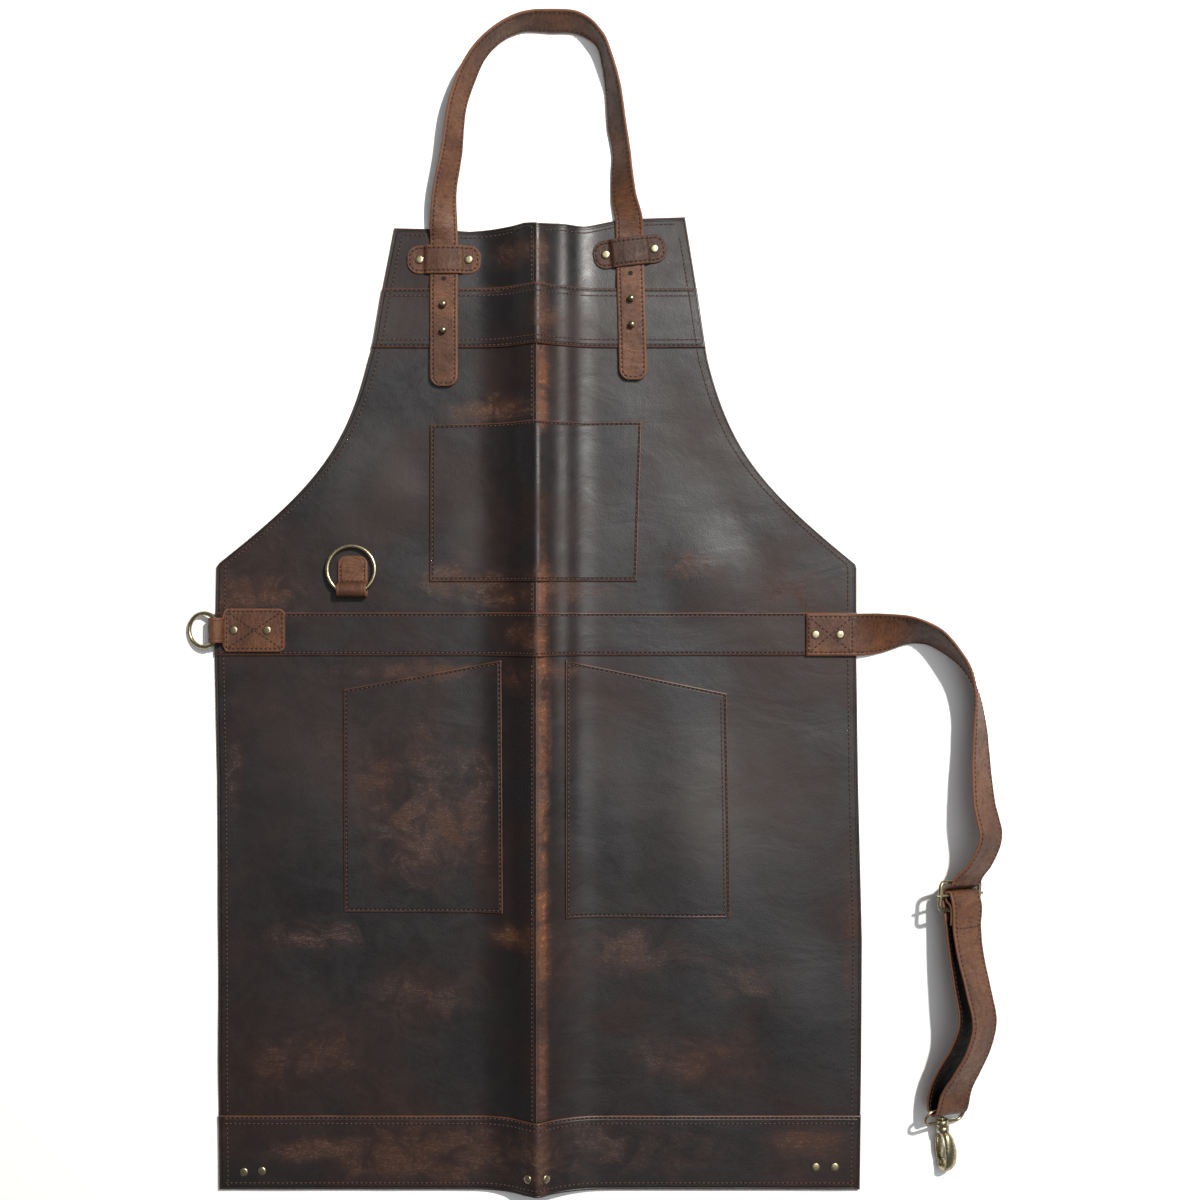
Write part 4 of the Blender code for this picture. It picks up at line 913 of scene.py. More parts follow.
def make_sheet_stitches():
    rows = Stitching()
    levels = [share * APRON_LENGTH for share in (0.0, HEM_BAND_TOP, *WAIST_BAND, *CHEST_BAND)]
    for k, (low, high) in enumerate(zip(levels, [*levels[1:], TOP_LEFT - SIDE_STITCH_INSET])):
        for side in (-1, 1):
            cloth_row(rows, offset_sides(side, low + 0.002, high - 0.001, SIDE_STITCH_INSET), 1 - k % 2)
    for x_range, top in (((-0.126, -0.012), left_top), ((0.008, 0.130), right_top)):
        xs = np.linspace(*x_range, 40)
        cloth_row(rows, [(x, float(top(x)) - TOP_STITCH_INSET) for x in xs], 0)

    across_rows = [(CHEST_BAND[0], inset, 0.004) for inset in BAND_ROWS]
    across_rows += [(CHEST_BAND[1], -inset, 0.004) for inset in BAND_ROWS]
    across_rows += [(WAIST_BAND[0], 0.0028, 0.004), (WAIST_BAND[1], -0.0028, 0.004)]
    across_rows += [(HEM_BAND_TOP, -inset, 0.005) for inset in BAND_ROWS] + [(0.0, TOP_STITCH_INSET, 0.005)]
    for share, inset_y, inset_x in across_rows:
        y = share * APRON_LENGTH + inset_y
        left, right = float(edge_x(-1, y)) + inset_x, float(edge_x(1, y)) - inset_x
        cloth_row(rows, [(x, y) for x in np.linspace(left, right, 160)], 1)
    seam = (
        (HEM_BAND_TOP * APRON_LENGTH, 0.5000),
        (WAIST_BAND[1] * APRON_LENGTH + 0.001, 0.5770),
        (0.7310, CHEST_BAND[0] * APRON_LENGTH - 0.001),
        (CHEST_BAND[1] * APRON_LENGTH + 0.001, APRON_LENGTH - 0.004),
    )
    for low, high in seam:
        cloth_row(rows, [(SEAM_STITCH_X, y) for y in np.linspace(low, high, 80)], 0, True)

    def edge_line(start, end, inset):
        (ax, ay), (bx, by) = start, end
        run = Vector((bx - ax, by - ay)).normalized() * inset
        inward = Vector((-run.y, run.x))
        return [
            (ax + inward.x + run.x, ay + inward.y + run.y),
            (bx + inward.x - run.x, by + inward.y - run.y),
        ]

    for corners in (CHEST_POCKET, HIP_POCKET_LEFT, HIP_POCKET_RIGHT):
        for k in range(4):
            cloth_row(rows, edge_line(corners[k], corners[(k + 1) % 4], POCKET_STITCH_INSET), 1)
    cloth_row(rows, edge_line(*HIP_POCKET_RIGHT[1:3], POCKET_SECOND_ROW), 1)
    rows.finish("sheet_stitches", "thread")


# Hardware

def lathe(name, profile, place, steps=32):
    """A profile of radius and height turned about its own axis, both ends on the axis."""
    verts = [Vector((0, 0, profile[0][1]))]
    rings = profile[1:-1]
    turns = [2 * pi * k / steps for k in range(steps)]
    for r, z in rings:
        verts += [Vector((r * cos(turn), r * sin(turn), z)) for turn in turns]
    verts.append(Vector((0, 0, profile[-1][1])))
    last = len(verts) - 1
    faces = []
    for k in range(steps):
        n = (k + 1) % steps
        faces.append([0, 1 + k, 1 + n])
        for ring in range(len(rings) - 1):
            a, b = 1 + ring * steps, 1 + (ring + 1) * steps
            faces.append([a + k, b + k, b + n, a + n])
        tail = 1 + (len(rings) - 1) * steps
        faces.append([last, tail + n, tail + k])
    return to_object(name, [place @ v for v in verts], faces)


def metal(made, body, *nodes):
    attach(made, body)
    if nodes:
        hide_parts(*nodes)
    paint(made, "brass")
    return made


def turned(across, along):
    """The turn that carries X and Y to two directions."""
    return Matrix((across, along, across.cross(along))).transposed().to_4x4()


def stand(point, normal):
    turn = Vector(normal).to_track_quat("Z", "Y").to_matrix().to_4x4()
    return Matrix.Translation(Vector(point)) @ turn


def rivet(node, point, normal):
    r, h = RIVET_RADIUS, RIVET_HEIGHT
    dome = ((0.4, 0.97), (0.66, 0.92), (0.84, 0.80), (0.94, 0.62), (0.99, 0.42), (1.0, 0.2))
    foot = [(r * 0.97, -RIVET_SUNK), (0, -RIVET_SUNK)]
    profile = [(0, h), *((r * across, h * up) for across, up in dome), *foot]
    metal(lathe(f"{node}_cap", profile, stand(point, normal)), "apron", node)


def tube(points, radius, closed, sides=14, deep=1.0):
    """Vertices and faces of a wire through points; deep stretches its section along Z."""
    points = [Vector(p) for p in points]
    count = len(points)
    verts, faces = [], []
    normal = None
    for k, point in enumerate(points):
        after = points[(k + 1) % count] if closed or k + 1 < count else point
        before = points[k - 1] if closed or k > 0 else point
        along = (after - before).normalized()
        if normal is None:
            normal = along.orthogonal().normalized()
            for axis in ((0, 0, 1), (0, 1, 0)):
                if abs(along.dot(Vector(axis))) < 0.9:
                    normal = (Vector(axis) - along * along.dot(Vector(axis))).normalized()
                    break
        normal = (normal - along * along.dot(normal)).normalized()
        side = along.cross(normal)
        size = radius[k] if hasattr(radius, "__len__") else radius
        for i in range(sides):
            a = 2 * pi * i / sides
            stretch = deep[k] if hasattr(deep, "__len__") else deep
            verts.append(point + (normal * cos(a) * stretch + side * sin(a)) * size)
    for k in range(count if closed else count - 1):
        a, b = k * sides, ((k + 1) % count) * sides
        for i in range(sides):
            n = (i + 1) % sides
            faces.append([a + i, a + n, b + n, b + i])
    if not closed:
        faces.append(list(range(sides))[::-1])
        faces.append(list(range((count - 1) * sides, count * sides)))
    return verts, faces


def joined(name, pieces, place=Matrix.Identity(4)):
    """One object from several closed bodies, each a pair of vertices and faces."""
    verts, faces = [], []
    for piece_verts, piece_faces in pieces:
        start = len(verts)
        verts += [place @ Vector(v) for v in piece_verts]
        faces += [[start + k for k in face] for face in piece_faces]
    return to_object(name, verts, faces)


def rod(start, end, radius, edge=0.0003, sides=24):
    """A cylinder with softened rims."""
    start, end = Vector(start), Vector(end)
    along = (end - start).normalized()
    points = [start, start + along * edge, end - along * edge, end]
    return tube(points, (radius - edge, radius, radius, radius - edge), False, sides)


def rounded(corners, radius):
    found = []
    for k in range(len(corners)):
        here = Vector(corners[k])
        to_last = (Vector(corners[k - 1]) - here).normalized()
        to_next = (Vector(corners[(k + 1) % len(corners)]) - here).normalized()
        half = to_last.angle(to_next) / 2
        centre = here + (to_last + to_next).normalized() * (radius / sin(half))
        start = here + to_last * (radius / np.tan(half)) - centre
        sweep = (here + to_next * (radius / np.tan(half)) - centre).angle_signed(start)
        for i in range(CORNER_STEPS + 1):
            found.append(tuple(centre + Matrix.Rotation(sweep * i / CORNER_STEPS, 2) @ start))
    return found


def fold_sizes(radius, wire, half):
    bow = radius - sqrt(radius**2 - half**2)
    slant = radius / sqrt(radius**2 - half**2)
    reach = (bow + wire * (slant - 1)) / 2
    return reach, reach + wire + GAP


def circle(radius, centre):
    cx, cy = centre
    turns = [2 * pi * k / RING_STEPS for k in range(RING_STEPS)]
    return [(cx + radius * cos(turn), cy + radius * sin(turn), 0) for turn in turns]


def fold_rows(axis, hole, long_way, tail, base):
    """A strip from under its tail, round the ring's fold and back on top of itself."""
    centre, long_way = Vector(axis), Vector(long_way)
    across = Vector((0, 0, 1)).cross(long_way)
    middle = hole + TAB_LEATHER / 2
    low = base + TAB_LEATHER / 2

    def at(run, z):
        place = centre + long_way * run
        return (place.x, place.y, z, *across)

    rows = [at(tail, low), at(tail * 0.5, low), at(0.004, low)]
    for angle in (-90, -125, -160, 165, 130, 95, 60, 30, 5):
        turn = radians(angle)
        rows.append(at(middle * cos(turn), centre.z + middle * sin(turn)))
    top = low + TAB_LEATHER
    rows += [at(middle + 0.0006, top + 0.0022), at(middle + 0.0032, top + 0.0003), at(middle + 0.007, top)]
    rows += [at(tail * 0.6, top), at(tail, top)]
    return rows


def make_tool_ring():
    x, y = TOOL_RING_AT
    reach, hole = fold_sizes(TOOL_RING_RADIUS, TOOL_RING_WIRE, TOOL_TAB_WIDTH / 2 + TOOL_TAB_OFFSET)
    axis_y = y - TOOL_RING_RADIUS + reach
    middle = x + TOOL_TAB_OFFSET
    high = PLY + hole + TAB_LEATHER
    tail = TOOL_TAB_LENGTH - hole
    rows = fold_rows((middle, axis_y, high), hole, (0, 1, 0), tail, PLY)
    strap = Strap(rows, TOOL_TAB_WIDTH, TAB_LEATHER, (TAB_CORNER, TAB_CORNER))
    strap.mesh("tool_tab_leather", "strap", ["tool_ring_tab"], 0.0012, 0.0001, held="folded")
    stitch = Stitching()
    half = TOOL_TAB_WIDTH / 2 - TAB_INSET
    start_at = strap.length - tail + 0.0075
    up = facing(strap, 0.95)
    for across in (half, -half):
        stitch.run(*strap.row(start_at, strap.length - TAB_CORNER, across, up))
    stitch_across(stitch, strap, start_at, half, up)
    stitch.finish("tool_tab_stitches")
    drop = hole - TAB_LEATHER - TOOL_RING_WIRE - GAP
    lean = np.arcsin(drop / (TOOL_TAB_LENGTH - hole))
    place = Matrix.Translation((x, axis_y, high)) @ Matrix.Rotation(-lean, 4, "X")
    ring = tube(circle(TOOL_RING_RADIUS, (0, y - axis_y)), TOOL_RING_WIRE, True, 16)
    metal(joined("tool_ring_wire", [ring], place), "tool_ring", "tool_ring")


def make_waist_ring():
    reach, hole = fold_sizes(WAIST_RING_RADIUS, WAIST_RING_WIRE, WAIST_TAB_NECK / 2)
    high = 2 * PLY + hole + TAB_LEATHER
    tail = WAIST_TAB_NECK_LENGTH + WAIST_TAB_LENGTH
    rows = fold_rows((WAIST_RING_AXIS_X, WAIST_Y, high), hole, (1, 0, 0), tail, 2 * PLY)
    flat = tail - WAIST_TAB_NECK_LENGTH
    patch, neck = WAIST_TAB_PATCH / 2, WAIST_TAB_NECK / 2
    corner = 0.0065
    strap = Strap(rows, WAIST_TAB_PATCH, TAB_LEATHER, (corner, corner))

    def half(at):
        near = np.minimum(at, strap.length - at)
        round_end = np.sqrt(np.maximum(corner**2 - (corner - np.minimum(near, corner)) ** 2, 0)) - corner
        shoulder = np.clip((near - flat + 0.0045) / 0.0055, 0, 1)
        shoulder = shoulder**2 * (3 - 2 * shoulder)
        return patch + round_end + (neck - patch) * shoulder

    strap.half = half
    strap.mesh("waist_tab_leather", "strap", ["waist_ring_tab"], 0.0012, 0.0001, held="folded")
    end = strap.length
    stitch = Stitching()
    boxed(stitch, strap, end - TAB_INSET, end - 0.0555, patch - TAB_INSET, facing(strap, 0.95))
    stitch.finish("waist_tab_stitches")
    offset = WAIST_RING_RADIUS - reach
    lean = np.arcsin((high - WAIST_RING_WIRE - 0.0004) / (WAIST_RING_RADIUS + offset))
    place = Matrix.Translation((WAIST_RING_AXIS_X, WAIST_Y, high)) @ Matrix.Rotation(-lean, 4, "Y")
    ring = tube(circle(WAIST_RING_RADIUS, (-offset, 0)), WAIST_RING_WIRE, True, 16)
    metal(joined("waist_ring_wire", [ring], place), "waist_ring", "waist_ring")
    top = 2 * PLY + 2 * TAB_LEATHER + 0.0001
    for place_name, x in zip(("left", "right"), WAIST_TAB_RIVETS):
        rivet(f"rivet_ring_tab_{place_name}", (x, WAIST_Y, top), (0, 0, 1))


def boxed(stitch, strap, near, far, half, face=1.0):
    """A box of stitches with a cross in it, on a strap's end."""
    for across in (half, -half):
        stitch.run(*strap.row(near, far, across, face))
    for at in (near, far):
        stitch_across(stitch, strap, at, half, face)
    for sign in (-1, 1):
        line = [(near + (far - near) * t, sign * half * (2 * t - 1)) for t in np.linspace(0.03, 0.97, 30)]
        stitch_through(stitch, strap, line, face)


def stitch_through(stitch, strap, spots, face):
    """Stitches through spots, each a run along the strap and a distance from its middle."""
    stitch.run(*zip(*(strap.spot(at, across, face) for at, across in spots)))


def stitch_across(stitch, strap, at, half, face):
    stitch_through(stitch, strap, [(at, across) for across in np.linspace(-half, half, 12)], face)


def stitch_round(stitch, strap, inset, corner, face):
    """A row of stitches all round a strap with rounded ends."""
    half, turn = strap.width / 2 - inset, corner - inset
    for sign in (-1, 1):
        stitch.run(*strap.row(inset + turn, strap.length - inset - turn, sign * half, face))
    quarter = range(0, 91, 15)
    corners = [(-1, radians(a)) for a in quarter] + [(1, radians(90 - a)) for a in quarter]
    for start, way in ((inset, 1), (strap.length - inset, -1)):
        arc = []
        for sign, a in corners:
            arc.append((start + way * turn * (1 - sin(a)), sign * (half - turn * (1 - cos(a)))))
        stitch_through(stitch, strap, arc, face)


def make_neck_strap():
    strap = Strap(neck_rows(), NECK_STRAP_WIDTH, STRAP_THICKNESS, (STRAP_END_RADIUS, STRAP_END_RADIUS))
    strap.mesh("neck_strap_leather", "strap", ["neck_strap"], wave=0.00025)
    stitch = Stitching()
    up = facing(strap)
    stitch_round(stitch, strap, NECK_STITCH_INSET, STRAP_END_RADIUS, up)
    stitch.finish("neck_stitches")
    for side, top in (("left", HOLE_LEFT_Y), ("right", HOLE_RIGHT_Y)):
        for drop, name in zip((0, *STUD_DROPS), ("hole", "stud_upper", "stud_lower")):
            y = top - drop
            x = NECK_LEFT_X if side == "left" else right_leg_x(y)
            if name == "hole":
                punch(f"strap_hole_{side}", *strap.spot(strap.leg(y, side == "right"), 0, up))
            else:
                stud(f"{name}_{side}", (x, y, 2 * PLY))
    for name, x, y, turn_deg in (
        ("keeper_left", NECK_LEFT_X, KEEPER_Y, 0.0),
        ("keeper_right", right_leg_x(KEEPER_RIGHT_Y), KEEPER_RIGHT_Y, KEEPER_RIGHT_TURN),
    ):
        make_keeper(name, x, y, turn_deg)


def punch(name, point, normal):
    """A punched hole's mouth, painted dark as shade, with a pressed rim."""
    profile = [(0, 0.00022), (0.0018, 0.00025), (0.0022, 0.0001), (0.0020, -0.0008), (0, -0.0008)]
    made = lathe(name, profile, stand(point, normal), 20)
    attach(made, "apron")
    paint(made, "hole")


def stud(node, point):
    ball, post = STUD_HEAD_RADIUS, STUD_POST_RADIUS
    middle = STRAP_THICKNESS + 3 * GAP + sqrt(ball**2 - post**2)
    profile = [(0, middle + ball)]
    profile += [(ball * cos(radians(a)), middle + ball * sin(radians(a))) for a in range(80, -61, -10)]
    profile += [(post, 0.0004), (0, 0.0004)]
    metal(lathe(f"{node}_ball", profile, Matrix.Translation(Vector(point))), "apron", node)


def facing(strap, share=0.02):
    """1 where the strap's own out direction looks up at this share of its length."""
    return 1.0 if strap.frames(np.array([strap.length * share]))[2][0][2] > 0 else -1.0


def make_keeper(node, x, y, turn_deg):
    corner = (KEEPER_END_RADIUS, KEEPER_END_RADIUS)
    strap = Strap(keeper_rows(x, y, turn_deg), KEEPER_WIDTH, LEATHER, corner)
    material = "dark_strap" if turn_deg else "strap"
    strap.mesh(f"{node}_leather", material, [node], 0.0014, 0.0001)
    stitch = Stitching()
    stitch_round(stitch, strap, TAB_INSET, KEEPER_END_RADIUS, facing(strap))
    stitch.finish(f"{node}_stitches")
    turn_rad = radians(turn_deg)
    for place, sign in (("left", -1), ("right", 1)):
        along = sign * (KEEPER_LENGTH / 2 - KEEPER_RIVET_INSET)
        point = (x + along * cos(turn_rad), y + along * sin(turn_rad), 2 * PLY - 0.0001)
        rivet(f"rivet_{node}_{place}", point, (0, 0, 1))


def make_waist_strap():
    strap = Strap(waist_strap_rows(), WAIST_STRAP_WIDTH, STRAP_THICKNESS)
    first, last = (strap.nearest(loop_point(0.020, 0, SLIDER_TILT)[:3], later) for later in (False, True))
    front = loop_frame(SLIDER_TILT)[2]
    face = float(np.sign(strap.frames(np.array([first + 0.05]))[2][0] @ np.array(front)))
    # The inside of the loop, from slider to bail, gets painted shadow.
    painted_shadow_stretch = (first, last, face)
    strap.mesh("waist_strap_leather", "strap", ["waist_strap"], wave=0.00025, inside=painted_shadow_stretch, held="folded")
    stitch = Stitching()
    half = WAIST_STRAP_WIDTH / 2 - WAIST_STITCH_INSET
    up = facing(strap)
    for sign in (-1, 1):
        for face in (up, -up):
            stitch.run(*strap.row(0.0475, strap.length - 0.006, sign * half, face))
    boxed(stitch, strap, *PATCH_BOX, half, up)
    for reach in LOOP_STITCH_RUNS:
        at = strap.nearest(loop_point(reach, 0.006, SLIDER_TILT)[:3], True)
        stitch_across(stitch, strap, at, half, -face)
    stitch.finish("waist_strap_stitches")
    for place, x in zip(("left", "right"), PATCH_RIVETS):
        point = (x, WAIST_STRAP_Y, 2 * PLY + STRAP_THICKNESS)
        rivet(f"rivet_patch_{place}", point, (0, 0, 1))


def make_slider():
    along, across = loop_frame(SLIDER_TILT)[:2]
    centre = Vector(SLIDER_AT) + across * SLIDER_SHIFT
    place = Matrix.Translation(centre) @ turned(across, along)
    half_long = SLIDER_INNER_WIDTH / 2 + SLIDER_WIRE
    corners = [(sx * half_long, sy * SLIDER_LENGTH / 2) for sx, sy in ((1, 1), (-1, 1), (-1, -1), (1, -1))]
    points = [(x, y, 0) for x, y in rounded(corners, SLIDER_CORNER)]
    end = half_long + SLIDER_WIRE + SLIDER_STUB
    bar = rod((-end, 0, 0), (end, 0, 0), SLIDER_BAR, 0.0004, 16)
    metal(joined("slider_frame", [tube(points, SLIDER_WIRE, True), bar], place), "apron", "slider")


def bail_frame():
    along, across = loop_frame(LOOP_END_TILT)[:2]
    slack = LOOP_TURN_RADIUS - STRAP_THICKNESS / 2 - 3 * GAP - BAIL_WIRE
    bar = Vector(LOOP_END) + along * slack
    down = (along * BAIL_DEPTH - Vector((0, 0, HOOK_DROP))).normalized()
    down = (down - across * down.dot(across)).normalized()
    return Matrix.Translation(bar) @ turned(across, down)


def hook_frame():
    centre = bail_frame() @ Vector((0, BAIL_DEPTH, 0))
    turn, roll, pitch = radians(HOOK_TURN), radians(HOOK_ROLL), radians(HOOK_PITCH)
    down = Vector((sin(turn) * cos(pitch), -cos(turn) * cos(pitch), -sin(pitch)))
    level = Vector((cos(turn), sin(turn), 0))
    across = level * cos(roll) + down.cross(level) * sin(roll)
    return Matrix.Translation(centre) @ turned(across, down)


def make_hook():
    place = bail_frame()
    half = BAIL_WIDTH / 2
    corners = ((half, 0), (-half, 0), (-half, BAIL_DEPTH), (half, BAIL_DEPTH))
    points = [(x, y, 0) for x, y in rounded(corners, BAIL_DEPTH * 0.45)]
    swivel = hook_frame()
    local = place.inverted() @ swivel
    reach = BOSS_LENGTH / 2
    boss_verts, boss_faces = collar(-reach, reach, BOSS_RADIUS, PIN_RADIUS + 0.0003)
    boss = ([local @ v for v in boss_verts], boss_faces)
    metal(joined("bail_frame", [tube(points, BAIL_WIRE, True), boss], place), "hook_bail", "hook_bail")
    dense, run = smooth_path([(x, y, 0) for y, x in HOOK_ROWS])
    path = picked(dense, run, np.linspace(0, run[-1], 48))[:, :3]
    share = np.linspace(0, 1, 48)
    thick = np.interp(share, (0, 0.12, 0.75, 0.93, 1), (0.9, 1.0, 1.0, 0.92, 0.72)) * HOOK_WIRE
    deep = np.interp(share, (0, 0.15, 0.4, 0.8, 1), (1.0, 1.5, 2.15, 2.0, 1.35))
    pieces = [
        tube(path, thick, False, 28, deep),
        rod((0, -reach - 0.0020, 0), (0, 0.0095, 0), PIN_RADIUS),
        rod((0, -reach - GAP - 0.0016, 0), (0, -reach - GAP, 0), PIN_RADIUS * 1.7),
        rod((0, reach + GAP, 0), (0, reach + 0.0062, 0), BOSS_RADIUS, 0.0008),
        rod((0, 0.0085, 0), (GATE_PIVOT[1], SHOULDER[0], 0), SHOULDER[1], 0.0006),
    ]
    metal(joined("hook_body_cast", pieces, swivel), "hook_body", "hook_body")
    start = Vector((GATE_PIVOT[1], GATE_PIVOT[0], 0))
    end = Vector((GATE_END[1], GATE_END[0], 0))
    axis = (end - start).normalized()
    points = [start + axis * t for t in (-0.0021, -0.0017, -0.0009, 0, (end - start).length * 0.5)]
    points += [end - axis * 0.0004, end]
    sizes = [GATE_WIRE * s for s in (0.3, 0.64, 0.91, 1, 1, 1, 0.85)]
    gate = tube(points, sizes, False, 20, (1, 1, 1.3, 1.9, 2.3, 2.0, 1.7))
    metal(joined("hook_gate_bar", [gate], swivel), "hook_gate", "hook_gate")


def collar(low, high, radius, hole):
    """A short sleeve along Y with softened rims."""
    rim = 0.0006
    outside = [(radius - rim, low), (radius, low + rim), (radius, high - rim), (radius - rim, high)]
    section = [(hole, low), *outside, (hole, high)]
    verts, faces = [], []
    for k in range(COLLAR_STEPS):
        a = 2 * pi * k / COLLAR_STEPS
        verts += [Vector((r * cos(a), y, r * sin(a))) for r, y in section]
    size = len(section)
    for k in range(COLLAR_STEPS):
        n = (k + 1) % COLLAR_STEPS
        for i in range(size):
            j = (i + 1) % size
            faces.append([k * size + i, n * size + i, n * size + j, k * size + j])
    return verts, faces


def make_hem_rivets():
    for k, (x, y) in enumerate(HEM_RIVETS):
        points, normals = on_cloth([(x, y)], 1)
        rivet(f"rivet_hem_{k + 1}", points[0] + normals[0] * 0.0002, normals[0])


# Materials

MATERIALS = {}


def paint(piece, material):
    piece.data.materials.clear()
    piece.data.materials.append(MATERIALS[material])


class Nodes:
    """A small helper to lay out a material's nodes."""

    def __init__(self, name):
        self.material = bpy.data.materials.new(name)
        self.material.use_nodes = True
        self.tree = self.material.node_tree
        self.shader = self.tree.nodes["Principled BSDF"]
        MATERIALS[name] = self.material

    def link(self, source, target):
        self.tree.links.new(source, target)

    def node(self, kind, outlet, inputs, **settings):
        """A new node, its inputs given by name or number as values or links; returns one of its outputs."""
        made = self.tree.nodes.new(f"ShaderNode{kind}")
        for name, value in settings.items():
            setattr(made, name, value)
        for key, value in inputs.items():
            if isinstance(value, bpy.types.NodeSocket):
                self.link(value, made.inputs[key])
            else:
                made.inputs[key].default_value = value
        return made.outputs[outlet]

    def uv(self, scale=(1, 1, 1)):
        flat = self.node("UVMap", "UV", {}, uv_map="lay")
        return self.node("Mapping", "Vector", {"Scale": scale, "Vector": flat})

    def place(self, scale=(1, 1, 1)):
        spot = self.node("TexCoord", "Object", {})
        return self.node("Mapping", "Vector", {"Scale": scale, "Vector": spot})

    def noise(self, vector, scale, detail=4.0, rough=0.55, distort=0.0):
        inputs = {"Scale": scale, "Detail": detail, "Roughness": rough, "Distortion": distort}
        return self.node("TexNoise", "Fac", {**inputs, "Vector": vector})

    def bent(self, vector, scale, reach):
        """The same places pushed about by noise, to break up straight lines."""
        push = self.node("TexNoise", "Color", {"Scale": scale, "Vector": vector})
        inputs = {0: push, 1: (reach, reach, 0), 2: vector}
        return self.node("VectorMath", "Vector", inputs, operation="MULTIPLY_ADD")

    def cells(self, vector, scale, feature="F1"):
        return self.node("TexVoronoi", "Distance", {"Scale": scale, "Vector": vector}, feature=feature)

    def mark(self, name):
        return self.node("Attribute", "Fac", {}, attribute_name=name)

    def ramp(self, value, low, high, to_low=0.0, to_high=1.0):
        inputs = {"Value": value, "From Min": low, "From Max": high, "To Min": to_low, "To Max": to_high}
        return self.node("MapRange", "Result", inputs, interpolation_type="SMOOTHSTEP")

    def math(self, operation, a, b):
        return self.node("Math", "Value", {0: a, 1: b}, operation=operation)

    def away(self, value, middle):
        return self.math("ABSOLUTE", self.math("SUBTRACT", value, middle), 0.0)

    def mix(self, share, a, b):
        """A mix of two colours, each a value or a link; their sockets are numbers 6 and 7."""
        first, second = ((*colour, 1) if isinstance(colour, tuple) else colour for colour in (a, b))
        return self.node("Mix", 2, {"Factor": share, 6: first, 7: second}, data_type="RGBA")

    def relief(self, value, distance, under=None, strength=1.0):
        inputs = {"Strength": strength, "Distance": distance, "Height": value}
        if under is not None:
            inputs["Normal"] = under
        return self.node("Bump", "Normal", inputs)


